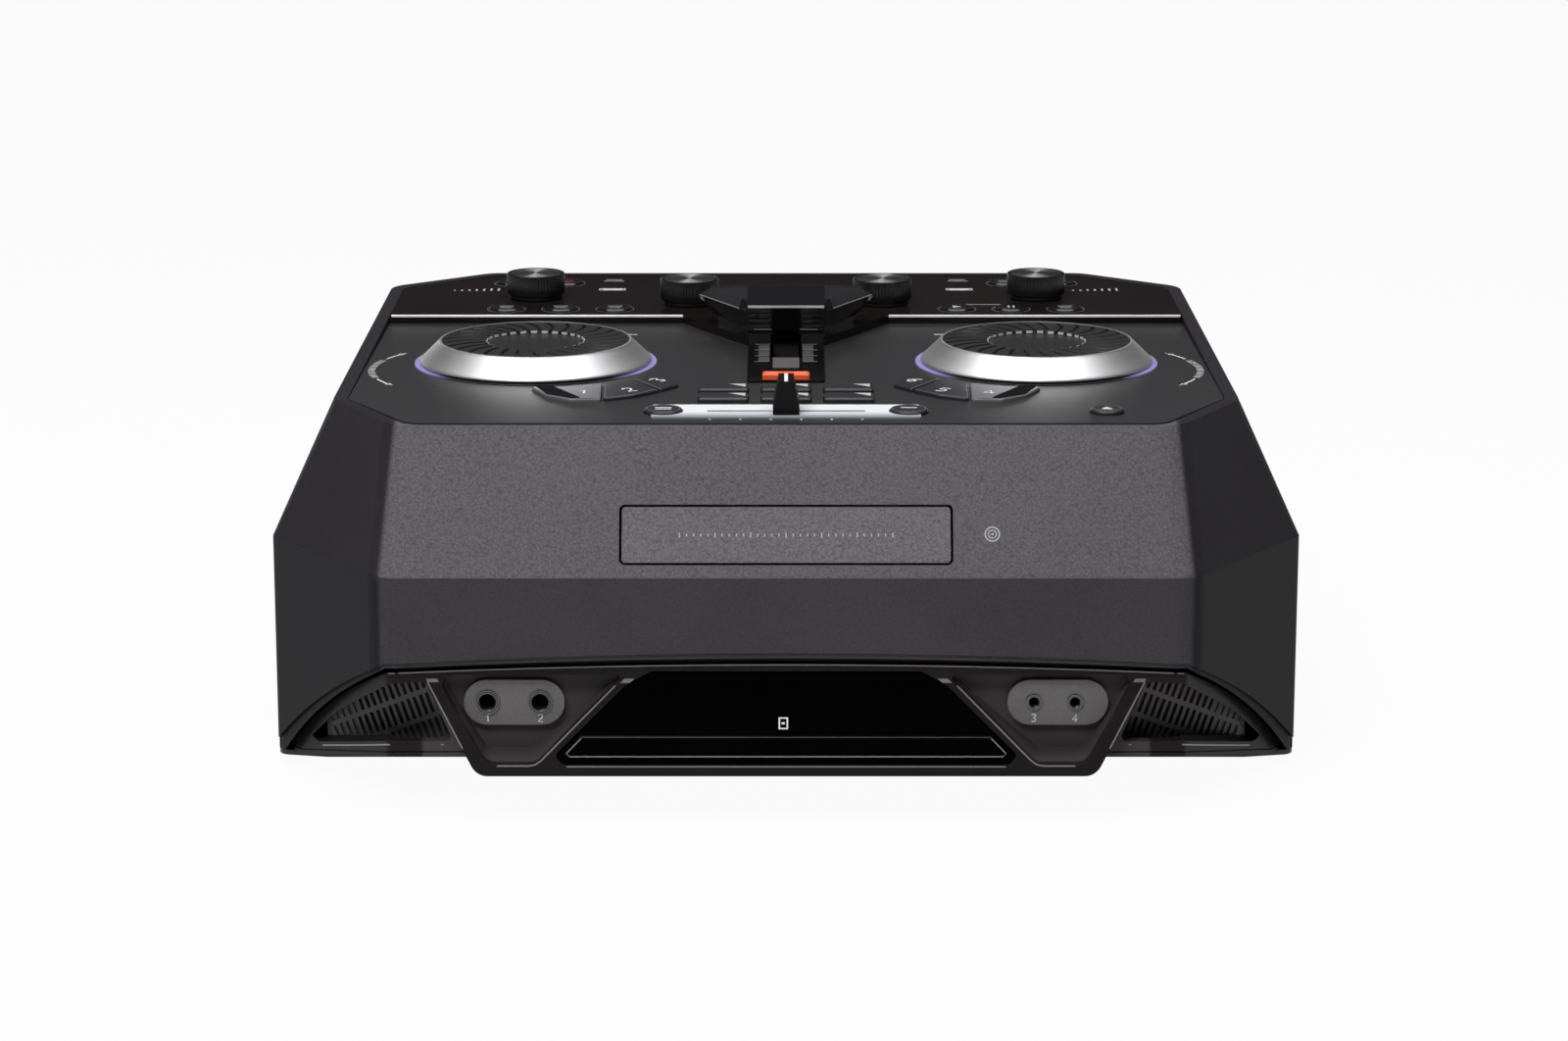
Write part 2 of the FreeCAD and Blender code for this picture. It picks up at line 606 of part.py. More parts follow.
def arch_region(curve, lift):
    side, wing, shoulder, crown = [(x, z + lift) for x, z in curve]

    def at(x, z):
        return V(x, -FAR, z)
    edges = [Part.Arc(at(*side), at(*wing), at(*shoulder)).toShape(),
             Part.Arc(at(*shoulder), at(*crown), at(-shoulder[0], shoulder[1])).toShape(),
             Part.Arc(at(-shoulder[0], shoulder[1]), at(-wing[0], wing[1]), at(-side[0], side[1])).toShape(),
             Part.makeLine(at(-side[0], side[1]), at(-FAR, side[1])),
             Part.makeLine(at(-FAR, side[1]), at(-FAR, -FAR)),
             Part.makeLine(at(-FAR, -FAR), at(FAR, -FAR)),
             Part.makeLine(at(FAR, -FAR), at(FAR, side[1])),
             Part.makeLine(at(FAR, side[1]), at(*side))]
    return Part.Face(Part.Wire(edges)).extrude(V(0, SEAM_Y + FAR, 0))


def tray_outline(gap):
    half = TRAY_HALF_OPENING - gap
    z0 = TRAY_OPENING_Z[0] + gap
    z1 = TRAY_OPENING_Z[1] - gap
    return [(-half, z0), (half, z0), (half, z1), (-half, z1)]


def make_front_cover(shell):
    cover = shell.common(in_front_of(SEAM_Y))
    stepped = arch_region(HOOD_OUTER, 0.0).cut(envelope(HOOD_STEP))
    cover = cover.cut(stepped).cut(arch_region(HOOD_INNER, 0.0))
    return cover.cut(front_prism(tray_outline(0.0), TRAY_OPENING_CORNER, -FAR, SEAM_Y))


def make_rear_case(shell):
    case = shell.common(behind(SEAM_Y))
    band = box(-FAR, FAR, SEAM_Y, SEAM_Y + SEAM_GROOVE, 0, FAR)
    case = case.cut(band.cut(envelope(SEAM_GROOVE)))
    z0, z1 = REAR_OPENING_Z
    half = REAR_OPENING_HALF
    return case.cut(box(-half, half, REAR_Y - WALL - 1, REAR_Y + 1, z0, z1))


# Base plate and feet
def base_outline(gap):
    points = mirrored_plan([(BASE_FRONT_HALF, UNDER_START_Y + BASE_FRONT_GAP),
                            (WIDTH / 2, FACET_Y + BASE_FRONT_GAP), (WIDTH / 2, REAR_FACET_Y),
                            (REAR_HALF, REAR_Y)])
    return even_inset(points, gap)


def make_base_plate():
    plate = prism(base_outline(0.0), BASE_CORNER, FOOT_HEIGHT, BASE_TOP)
    outer = WALL + FIT_GAP
    corner = LOWER_RADII[2] - WALL
    lip = prism(base_outline(outer), corner, BASE_TOP, BASE_TOP + BASE_LIP_HEIGHT)
    lip = lip.cut(prism(base_outline(outer + BASE_LIP_WALL), corner - BASE_LIP_WALL, 0, FAR))
    gap_half, gap_y = BASE_LIP_GAP
    lip = lip.cut(in_front_of(BASE_LIP_FRONT_Y)).cut(box(-gap_half, gap_half, gap_y, FAR, BASE_TOP, FAR))
    vents = []
    for side in (-1, 1):
        for i in range(VENT_COUNT):
            slot = rectangle(side * (VENT_START_X + i * VENT_PITCH), VENT_Y, VENT_SIZE[0], VENT_SIZE[1])
            vents.append(prism(slot, VENT_SIZE[0] / 2 - 0.1, 0, FAR))
    return fused([plate, lip]).cut(Part.makeCompound(vents))


def make_feet():
    rim = FOOT_RADIUS - 2.0
    profile = [(0, 1.0), (6, 1.0), (7, 0), (rim, 0), (rim + 1.5, 1.2), (FOOT_RADIUS, FOOT_HEIGHT),
               (0, FOOT_HEIGHT)]
    return [turned(profile, side * FOOT_X, y) for side in (-1, 1) for y in FOOT_Y]


# Lower front
def under_z(y):
    return BASE_TOP + (UNDER_START_Y - y) * UNDER_SLOPE


def under_region(rise):
    points = [(-FAR, under_z(-FAR) + rise), (UNDER_START_Y, BASE_TOP + rise), (SEAM_Y + 1, BASE_TOP + rise),
              (SEAM_Y + 1, -FAR), (-FAR, -FAR)]
    return side_prism(points, -FAR, FAR)


def chin_y(z):
    return CHIN_TOP_Y - (CHIN_TOP_Z - z) * CHIN_SLOPE


def chin_slab(front, back):
    high = KINK_Z
    return side_prism([(chin_y(0) + front, 0), (chin_y(high) + front, high),
                       (chin_y(high) + back, high), (chin_y(0) + back, 0)], -FAR, FAR)


def both_sides(right):
    return right + [(-x, z) for x, z in reversed(right)]


def recess_space():
    back = rounded_wire(RECESS_BACK, RECESS_RADII, lambda x, z: V(x, RECESS_FLOOR_Y, z))
    front = rounded_wire(RECESS_FRONT, RECESS_RADII, lambda x, z: V(x, LIP_Y - 1, z))
    return Part.makeLoft([back, front], True, True)


def lower_block(gap):
    return prism(even_inset(LOWER_PLAN, gap), max(FRAME_CORNER - gap / 4, 1.0), 0, KINK_Z)


def frame_ring(outer, inner, curve, lift):
    ring = lower_block(outer).cut(lower_block(inner))
    return ring.common(in_front_of(SEAM_Y - FRAME_BACK_GAP)).common(arch_region(curve, lift))


def make_frame():
    inner = FRAME_INSET + FRAME_WALL
    frame = frame_ring(FRAME_INSET, inner, FRAME_TOP, 0.0)
    flange = frame_ring(inner, inner + FLANGE_WALL, FRAME_TOP, FLANGE_RISE)
    floor = under_region(UNDER_FLOOR).common(lower_block(FRAME_INSET)).common(arch_region(FRAME_TOP, 0.0))
    floor = floor.common(in_front_of(SEAM_Y - FRAME_BACK_GAP))
    body = fused([frame, flange, floor]).cut(under_region(0.0))
    groove = under_region(FRAME_GROOVE_RISE + FRAME_GROOVE).cut(under_region(FRAME_GROOVE_RISE))
    body = body.cut(groove.cut(lower_block(FRAME_INSET + FRAME_GROOVE)))
    opening = front_shape(WING_OPENING, WING_RADII, -FAR, SEAM_Y)
    return body.cut(opening).cut(mirror(opening))


def make_chin():
    chin = front_prism(both_sides(CHIN_HALF), CHIN_RADIUS, -FAR, CHIN_BACK_Y)
    return chin.common(chin_slab(0.0, FAR)).common(arch_region(FRAME_TOP, 0.0))


def make_lower_bezel():
    body = fused([make_frame(), make_chin()])
    recess = recess_space()
    body = body.cut(recess).cut(mirror(recess))
    window = front_prism(both_sides(WINDOW), WINDOW_RADIUS, -FAR, SEAM_Y)
    body = body.cut(window.common(chin_slab(-FAR, WINDOW_DEPTH)))
    hollow = front_prism(even_inset(both_sides(WINDOW), WINDOW_HOLLOW), WINDOW_RADIUS, -FAR, SEAM_Y)
    body = body.cut(hollow.common(chin_slab(WINDOW_DEPTH + CHIN_SKIN, FAR)))
    for x, bore in jack_list():
        body = body.cut(forward_cylinder(x, JACK_Z, bore + JACK_WALL + FIT_GAP, LIP_Y, SEAM_Y))
    return body


def make_display_window():
    face = WINDOW_DEPTH - WINDOW_LENS
    lens = front_prism(even_inset(both_sides(WINDOW), FIT_GAP), WINDOW_RADIUS, -FAR, SEAM_Y)
    bar = front_prism(both_sides(WINDOW_BAR), 0.8, -FAR, SEAM_Y)
    return fused([lens.common(chin_slab(face, WINDOW_DEPTH)),
                  bar.common(chin_slab(face - WINDOW_BAR_RISE, WINDOW_DEPTH))])


# Jacks and grilles
def jack_list():
    return [(x, LARGE_BORE) for x in LARGE_JACKS] + [(x, SMALL_BORE) for x in SMALL_JACKS]


def make_jack_plates():
    plates = []
    for side in (-1, 1):
        outline = rectangle(side * PLATE_X, PLATE_Z, PLATE_LENGTH, PLATE_HEIGHT)
        end_radius = min(PLATE_HEIGHT, PLATE_LENGTH) / 2 - 0.05
        plate = front_prism(outline, end_radius, RECESS_FLOOR_Y - PLATE_THICKNESS, RECESS_FLOOR_Y)
        for x, bore in jack_list():
            plate = plate.cut(forward_cylinder(x, JACK_Z, bore + JACK_WALL + JACK_GAP, LIP_Y, SEAM_Y))
        plates.append(plate)
    return plates


def make_jacks():
    jacks = []
    front = RECESS_FLOOR_Y - PLATE_THICKNESS
    end = front + JACK_LENGTH
    for x, bore in jack_list():
        ring = LARGE_RING if bore == LARGE_BORE else SMALL_RING
        sleeve = bore + JACK_WALL
        profile = [(bore, front - 0.4), (bore + 0.7, front - 1.0), (ring - 0.4, front - 1.0),
                   (ring, front - 0.6), (ring, front), (sleeve, front), (sleeve, end), (0, end),
                   (0, end - JACK_FLOOR), (bore, end - JACK_FLOOR)]
        jacks.append(turned_forward(profile, x, JACK_Z))
    return jacks


def grille_slots():
    slots = []
    row_pitch = SLOT_LENGTH + SLOT_BAR
    rows = int(GRILLE_HEIGHT / row_pitch) + 2
    columns = int(GRILLE_LENGTH / SLOT_PITCH) + 11
    for row in range(-2, rows):
        for column in range(columns):
            slot = box(-SLOT_WIDTH / 2, SLOT_WIDTH / 2, -5, 10, -SLOT_LENGTH / 2, SLOT_LENGTH / 2)
            slot.translate(V((column - 3) * SLOT_PITCH, 0, (row - 1) * row_pitch))
            slot.rotate(V(0, 0, 0), V(0, 1, 0), -SLOT_LEAN)
            centre = slot.BoundBox.Center
            if not GRILLE_MARGIN < centre.x < GRILLE_LENGTH - GRILLE_MARGIN:
                continue
            if not GRILLE_MARGIN < centre.z < GRILLE_HEIGHT - SLOT_LENGTH:
                continue
            if centre.x < BLIND_LENGTH:
                slot = slot.common(in_front_of(GRILLE_THICKNESS * SLOT_DEPTH_SHARE))
            slots.append(slot)
    return slots


def make_grille(side):
    plate = box(0, GRILLE_LENGTH, 0, GRILLE_THICKNESS, 0, GRILLE_HEIGHT)
    plate = plate.cut(Part.makeCompound(grille_slots()))
    plate.rotate(V(0, 0, 0), V(0, 0, 1), GRILLE_ANGLE)
    plate.translate(V(GRILLE_OUTER[0], GRILLE_OUTER[1], 0))
    room = lower_block(FRAME_INSET + FRAME_WALL + FLANGE_WALL)
    plate = plate.common(room).common(arch_region(FRAME_TOP, GRILLE_LAP)).cut(under_region(UNDER_FLOOR))
    return plate if side < 0 else mirror(plate)


# Shared places on the deck and the raised panel
def jog_centres():
    return [(-JOG_X, JOG_Y), (JOG_X, JOG_Y)]


def key_outline(side, index):
    return [(side * (JOG_X - x), JOG_Y + y) for x, y in KEY_OUTLINES[index]]


def pad_outlines():
    outlines = []
    for y in PAD_ROWS:
        for column in (-1, 0, 1):
            outlines.append(rectangle(column * PAD_PITCH, y, PAD_SIZE[0], PAD_SIZE[1]))
    return outlines


def red_outline():
    return rectangle(0.0, RED_Y, RED_SIZE[0], RED_SIZE[1])


def deck_outlines():
    keys = [key_outline(side, index) for side in (-1, 1) for index in range(len(KEY_OUTLINES))]
    return keys + pad_outlines() + [red_outline()]


def deck_rounds():
    ends = [(side * FADER_BUTTON_X, FADER_Y, FADER_BUTTON_RADIUS) for side in (-1, 1)]
    return ends + [(TRAY_BUTTON[0], TRAY_BUTTON[1], TRAY_BUTTON_RADIUS)]


def panel_buttons():
    return [(side * x, y) for side in (-1, 1) for x, y in FRONT_ROW + REAR_ROW]


def knob_places():
    return [(side * x, y) for side in (-1, 1) for x, y in (OUTER_KNOB, INNER_KNOB)]


def usb_places():
    return [(side * USB_PLACE[0], USB_PLACE[1]) for side in (-1, 1)]


def middle(points):
    return sum(p[0] for p in points) / len(points), sum(p[1] for p in points) / len(points)


def fader_slot():
    half = FADER_TRAVEL + FADER_STEM[0] / 2 + FADER_SLOT_GAP
    reach = FADER_STEM[1] / 2 + FADER_SLOT_GAP
    return box(-half, half, FADER_Y - reach, FADER_Y + reach, 0, FAR)


def outline_holes(outlines):
    return [prism(even_inset(outline, -HOLE_GAP), HOLE_CORNER, 0, FAR) for outline in outlines]


def round_holes(rounds):
    return [cylinder(x, y, radius + HOLE_GAP, 0, FAR) for x, y, radius in rounds]


# Deck and raised panel
def make_deck_panel():
    deck = prism(rim_opening(FIT_GAP), RIM_CORNER, LEDGE_Z, DECK_Z).cut(behind(DECK_REAR_Y))
    cuts = [fader_slot()] + round_holes(deck_rounds()) + outline_holes(deck_outlines())
    for x, y in jog_centres():
        cuts.append(cylinder(x, y, SHAFT_RADIUS + SHAFT_HOLE_GAP, 0, FAR))
        groove = cylinder(x, y, RING_RADIUS + RING_RISE, DECK_Z - RING_DEPTH, FAR)
        cuts.append(groove.cut(cylinder(x, y, RING_RADIUS - RING_WIDTH - RING_RISE, 0, FAR)))
    half = GATE_SLOT_HALF + FIT_GAP
    cuts.append(box(-half, half, GATE_SLOT_Y[0] - FIT_GAP, GATE_SLOT_Y[1] + FIT_GAP, 0, FAR))
    return deck.cut(Part.makeCompound(cuts))


def make_light_rings():
    rings = []
    for x, y in jog_centres():
        ring = cylinder(x, y, RING_RADIUS, DECK_Z - RING_DEPTH, DECK_Z + RING_RISE)
        rings.append(ring.cut(cylinder(x, y, RING_RADIUS - RING_WIDTH, 0, FAR)))
    return rings


def panel_bulge():
    def at(x, y):
        return V(x, y, DECK_Z)
    back = PANEL_FRONT_Y + 1
    right = Part.BSplineCurve()
    right.interpolate([at(GATE_HALF, BULGE_FRONT_Y), at(*BULGE_MID), at(BULGE_HALF, PANEL_FRONT_Y)])
    left = Part.BSplineCurve()
    left.interpolate([at(-BULGE_HALF, PANEL_FRONT_Y), at(-BULGE_MID[0], BULGE_MID[1]),
                      at(-GATE_HALF, BULGE_FRONT_Y)])
    edges = [left.toShape(), Part.makeLine(at(-GATE_HALF, BULGE_FRONT_Y), at(GATE_HALF, BULGE_FRONT_Y)),
             right.toShape(), Part.makeLine(at(BULGE_HALF, PANEL_FRONT_Y), at(BULGE_HALF, back)),
             Part.makeLine(at(BULGE_HALF, back), at(-BULGE_HALF, back)),
             Part.makeLine(at(-BULGE_HALF, back), at(-BULGE_HALF, PANEL_FRONT_Y))]
    return Part.Face(Part.Wire(edges)).extrude(V(0, 0, PANEL_HEIGHT))


def make_control_panel():
    slab = prism(rim_opening(FIT_GAP), RIM_CORNER, DECK_Z, PANEL_Z).cut(in_front_of(PANEL_FRONT_Y))
    hollow = prism(rim_opening(FIT_GAP + LEDGE + 1), RIM_CORNER / 2, 0, PANEL_Z - PANEL_SKIN)
    gate_half = GATE_HALF + FIT_GAP
    cuts = [hollow.cut(in_front_of(DECK_REAR_Y - PANEL_SKIN))]
    cuts.append(box(-gate_half, gate_half, 0, GATE_Y[1] + FIT_GAP, 0, FAR))
    cuts.extend(round_holes([(x, y, BUTTON_RADIUS) for x, y in panel_buttons()]))
    cuts.extend([cylinder(x, y, KNOB_SHAFT + FIT_GAP, 0, FAR) for x, y in knob_places()])
    for x, y in usb_places():
        cuts.append(prism(rectangle(x, y, USB_SIZE[0] + FIT_GAP * 2, USB_SIZE[1] + FIT_GAP * 2), 0.6, 0, FAR))
    panel = fused([slab, panel_bulge()])
    for cut in cuts:
        panel = panel.cut(cut)
    return panel


def make_trim_strips():
    outer = rim_opening_half(PANEL_FRONT_Y, FIT_GAP + TRIM_END_GAP)
    top = PANEL_Z + TRIM_RISE
    strip = box(BULGE_HALF, outer, PANEL_FRONT_Y - TRIM_DEPTH, PANEL_FRONT_Y, top - TRIM_HEIGHT, top)
    front = strip.BoundBox.YMin
    long_edges = [e for e in strip.Edges if abs(e.CenterOfMass.y - front) < 0.01 and e.Length > TRIM_HEIGHT * 2]
    strip = strip.makeFillet(TRIM_HEIGHT / 4, long_edges)
    return [strip, mirror(strip)]


def make_fader_plate():
    outline = rectangle(0.0, FADER_Y, FADER_PLATE_HALF * 2, FADER_PLATE_DEPTH)
    plate = prism(outline, 1.5, DECK_Z, DECK_Z + FADER_PLATE_RISE).cut(fader_slot())
    return plate.cut(Part.makeCompound(round_holes(deck_rounds()[:2])))


def make_lever_gate():
    top = DECK_Z + GATE_THICKNESS
    half = GATE_SLOT_HALF
    slot_front, slot_rear = GATE_SLOT_Y
    outline = [(-GATE_HALF, GATE_Y[0]), (GATE_HALF, GATE_Y[0]), (GATE_HALF, GATE_Y[1]), (-GATE_HALF, GATE_Y[1])]
    gate = prism(outline, 2.0, DECK_Z, top).cut(box(-half, half, slot_front, slot_rear, 0, FAR))
    lens_half, lens_length = GATE_LENS
    lens_rear = slot_front - 1.5
    parts = [gate, box(-lens_half, lens_half, lens_rear - lens_length, lens_rear, DECK_Z, top + 0.3)]
    rung_pitch = (LADDER_Y[1] - LADDER_Y[0] - 1) / (LADDER_RUNGS - 1)
    for side in (-1, 1):
        inner = side * (half + 0.4)
        parts.append(box(inner, inner + side * LADDER_WIDTH, LADDER_Y[0], LADDER_Y[1], DECK_Z, top + 0.8))
        for i in range(LADDER_RUNGS):
            y = LADDER_Y[0] + RUNG_HALF + i * rung_pitch
            parts.append(box(inner, inner + side * RUNG_REACH, y - RUNG_HALF, y + RUNG_HALF, DECK_Z, top + 1.2))
    return fused(parts).cut(outline_holes([red_outline()])[0])


# Jog wheels
def vane_outline(x, y, turn):
    width = 2 * math.pi / VANE_COUNT * VANE_FILL
    rim = JOG_TOP_RADIUS - JOG_LIP - 0.6
    leading = []
    trailing = []
    for step in range(4):
        t = step / 3
        radius = VANE_INNER + (rim - VANE_INNER) * t
        angle = turn + math.radians(VANE_SWEEP) * t * t
        spread = width * (VANE_TAPER + (1 - VANE_TAPER) * t)
        leading.append((x + radius * math.cos(angle), y + radius * math.sin(angle)))
        trailing.append((x + radius * math.cos(angle + spread), y + radius * math.sin(angle + spread)))
    return leading + trailing[::-1]


def make_jog_rim(x, y):
    base = DECK_Z + JOG_GAP
    top = DECK_Z + JOG_HEIGHT
    shelf = top - JOG_SHELF_DROP
    inner = JOG_TOP_RADIUS - JOG_LIP
    profile = [(JOG_BASE_RADIUS - 2, base), (JOG_BASE_RADIUS, base), (JOG_BASE_RADIUS, base + 0.8),
               (JOG_TOP_RADIUS, top - 0.2), (JOG_TOP_RADIUS - 0.3, top), (inner, top), (inner, shelf),
               (inner + 2.8, shelf)]
    return turned(profile, x, y)


def make_jog_top(x, y):
    top = DECK_Z + JOG_HEIGHT
    floor = top - JOG_FLOOR_DROP
    shelf = top - JOG_SHELF_DROP
    inner = JOG_TOP_RADIUS - JOG_LIP
    shaft_end = BOARD_TOP + SHAFT_END_GAP
    profile = [(0, shaft_end), (SHAFT_RADIUS, shaft_end), (SHAFT_RADIUS, DECK_Z + 2),
               (JOG_HUB_RADIUS, shelf - 2), (inner + 2.2, shelf - 2), (inner + 2.2, shelf),
               (inner - 0.2, shelf), (inner - 0.2, top - 0.3), (inner - 1.0, top - 0.3),
               (inner - 1.0, floor), (0, floor)]
    vanes = []
    for i in range(VANE_COUNT):
        outline = vane_outline(x, y, 2 * math.pi * i / VANE_COUNT)
        wire = polygon_wire(outline, lambda px, py: V(px, py, floor - 0.5))
        vanes.append(Part.Face(wire).extrude(V(0, 0, JOG_FLOOR_DROP + 0.2)))
    return turned(profile, x, y).multiFuse(vanes)


# Push buttons
def round_button(x, y, radius, top, under):
    flange = under - FLANGE_THICKNESS
    reach = radius + FLANGE_REACH
    profile = [(0, PLUNGER_Z), (STEM_RADIUS, PLUNGER_Z), (STEM_RADIUS, flange), (reach, flange), (reach, under),
               (radius, under), (radius, top - 0.7), (radius - 0.7, top), (radius - 1.6, top), (0, top - 0.4)]
    return turned(profile, x, y)


def chamfered_cap(outline, radius, bottom, top):
    cap = prism(outline, radius, bottom, top)
    crown = [e for e in cap.Edges if e.BoundBox.ZMin > top - 0.01]
    return cap.makeChamfer(CAP_CHAMFER, crown)


def arc_key(side, index):
    outline = key_outline(side, index)
    flange = LEDGE_Z - FLANGE_THICKNESS
    x, y = middle(outline)
    reach = math.hypot(x - side * JOG_X, y - JOG_Y)
    dx = (x - side * JOG_X) / reach * KEY_TAB_REACH
    dy = (y - JOG_Y) / reach * KEY_TAB_REACH
    cap = chamfered_cap(outline, KEY_CORNER, flange, DECK_Z + KEY_HEIGHT)
    tabs = [cylinder(x + k * dx, y + k * dy, KEY_TAB_RADIUS, flange, LEDGE_Z) for k in (-1, 1)]
    return fused([cap, cylinder(x, y, STEM_RADIUS, PLUNGER_Z, flange)] + tabs)


def shaped_button(outline, top, under):
    flange = under - FLANGE_THICKNESS
    x, y = middle(outline)
    cap = chamfered_cap(outline, PAD_CORNER, under, top)
    collar = prism(even_inset(outline, -FLANGE_REACH), PAD_CORNER, flange, under)
    return fused([cap, collar, cylinder(x, y, STEM_RADIUS, PLUNGER_Z, flange)])


# Knobs and fader
def make_knob(x, y):
    base = PANEL_Z + KNOB_GAP
    top = base + KNOB_HEIGHT
    inner = KNOB_RADIUS - KNOB_STEP
    outline = []
    for i in range(KNOB_FLUTES * 2):
        angle = math.pi * i / KNOB_FLUTES
        radius = KNOB_RADIUS - FLUTE_DEPTH * (i % 2)
        outline.append((x + radius * math.cos(angle), y + radius * math.sin(angle)))
    wire = polygon_wire(outline, lambda px, py: V(px, py, base + KNOB_COLLAR))
    grip = Part.Face(wire).extrude(V(0, 0, KNOB_HEIGHT - KNOB_COLLAR))
    grip = grip.cut(turned([(0, top - KNOB_DISH), (inner, top), (inner, top + 1), (0, top + 1)], x, y))
    collar = cylinder(x, y, inner, base, base + KNOB_COLLAR)
    shaft = cylinder(x, y, KNOB_SHAFT, KNOB_SHAFT_Z, base)
    return fused([grip, collar, shaft])


def make_fader_cap():
    base = DECK_Z + FADER_PLATE_RISE + KNOB_GAP
    foot_top = base + FADER_FOOT
    wide = rectangle(0.0, FADER_Y, FADER_BASE[0], FADER_BASE[1])
    narrow = rectangle(0.0, FADER_Y, FADER_TOP[0], FADER_TOP[1])
    low = polygon_wire(wide, lambda x, y: V(x, y, foot_top))
    high = polygon_wire(narrow, lambda x, y: V(x, y, base + FADER_HEIGHT))
    grip = Part.makeLoft([low, high], True, True)
    half = FADER_STEM[0] / 2
    reach = FADER_STEM[1] / 2
    stem = box(-half, half, FADER_Y - reach, FADER_Y + reach, BOARD_Z + TRACK_FLOOR + 1.1, base)
    return fused([grip, prism(wide, 0.3, base, foot_top), stem])


# Lever
def make_lever_arm():
    rise = HANDLE_BOTTOM_Z + WING_DROP - PIVOT_Z
    lean = math.degrees(math.atan2(ARM_REACH, rise))
    bar = box(-ARM_HALF, ARM_HALF, -ARM_DEPTH, ARM_DEPTH, 0.0, rise * 1.3)
    bar.rotate(V(0, 0, 0), V(1, 0, 0), -lean)
    bar.translate(V(0, PIVOT_Y, PIVOT_Z))
    hub = cross_cylinder(HUB_RADIUS, ARM_HALF * 1.5)
    return fused([bar.cut(above(HANDLE_BOTTOM_Z)), hub]).cut(cross_cylinder(PIN_RADIUS + RUN_GAP, FAR))


def wing_half():
    def wire(points, z):
        return polygon_wire(points, lambda x, y: V(x, y, z))
    under = wire(WING_UNDER, HANDLE_BOTTOM_Z + WING_DROP)
    brow = wire(WING_BROW, HANDLE_TOP_Z - BROW_DROP)
    crest = wire(WING_CREST, HANDLE_TOP_Z)
    return Part.makeLoft([under, brow], True, True).fuse(Part.makeLoft([brow, crest], True, True))


def make_lever_handle():
    front_low, front_high = HANDLE_FRONT_Y
    rear_low, rear_heel, rear_high = HANDLE_REAR_Y
    block = side_prism([(front_low, HANDLE_BOTTOM_Z), (front_high, HANDLE_TOP_Z),
                        (rear_high, HANDLE_TOP_Z + HANDLE_CROWN), (rear_heel, HANDLE_BOTTOM_Z + HANDLE_HEEL),
                        (rear_low, HANDLE_BOTTOM_Z)], -HANDLE_HALF, HANDLE_HALF)
    for side in (-1, 1):
        for i in range(RIB_COUNT):
            rise = RIB_START + i * RIB_PITCH
            z = HANDLE_BOTTOM_Z + rise
            front = front_low + (front_high - front_low) * rise / (HANDLE_TOP_Z - HANDLE_BOTTOM_Z)
            x0 = side * RIB_X - RIB_HALF
            x1 = side * RIB_X + RIB_HALF
            block = block.cut(box(x0, x1, 0, front + RIB_DEPTH, z - RUNG_HALF, z + RUNG_HALF))
    wing = wing_half()
    return fused([block, wing, mirror(wing)])


def make_lever_bracket():
    inner = ARM_HALF * 1.5 + CHEEK_GAP
    reach = inner + CHEEK_SHEET
    foot_z = PIVOT_Z - CHEEK_FOOT
    outline = [(CHEEK_Y[0], foot_z), (CHEEK_Y[1], foot_z), (CHEEK_Y[2], LEDGE_Z), (CHEEK_Y[3], LEDGE_Z)]
    cheek = side_prism(outline, inner, reach)
    return fused([cheek, mirror(cheek), cross_cylinder(PIN_RADIUS, reach)])


# Disc tray
def face_slab(front, back):
    slope = (TOP_FRONT_Y - FRONT_Y) / (rim_z(TOP_FRONT_Y) - KINK_Z)
    low = 0.0
    y_low = FRONT_Y - KINK_Z * slope
    y_high = FRONT_Y + FACE_HEIGHT * slope
    outline = [(y_low + front, low), (y_high + front, DECK_Z), (y_high + back, DECK_Z), (y_low + back, low)]
    return side_prism(outline, -FAR, FAR)


def make_tray_door():
    door = front_prism(tray_outline(DOOR_GAP), TRAY_OPENING_CORNER - 0.6, -FAR, SEAM_Y)
    return door.common(face_slab(0.0, DOOR_THICKNESS))


def make_disc_tray():
    z0, z1 = TRAY_Z
    well = z1 - (z1 - z0) * DISC_WELL_SHARE
    small_well = z1 - (z1 - z0) * SMALL_DISC_WELL_SHARE
    tray = box(-TRAY_HALF, TRAY_HALF, -FAR, TRAY_REAR_Y, z0, z1).cut(face_slab(-FAR, DOOR_THICKNESS))
    tray = tray.cut(cylinder(0, DISC_Y, DISC_RADIUS, well, FAR))
    tray = tray.cut(cylinder(0, DISC_Y, SMALL_DISC_RADIUS, small_well, FAR))
    slot = box(-PICKUP_SLOT, PICKUP_SLOT, DISC_Y, FAR, 0, FAR)
    return tray.cut(fused([cylinder(0, DISC_Y, PICKUP_SLOT, 0, FAR), slot]))


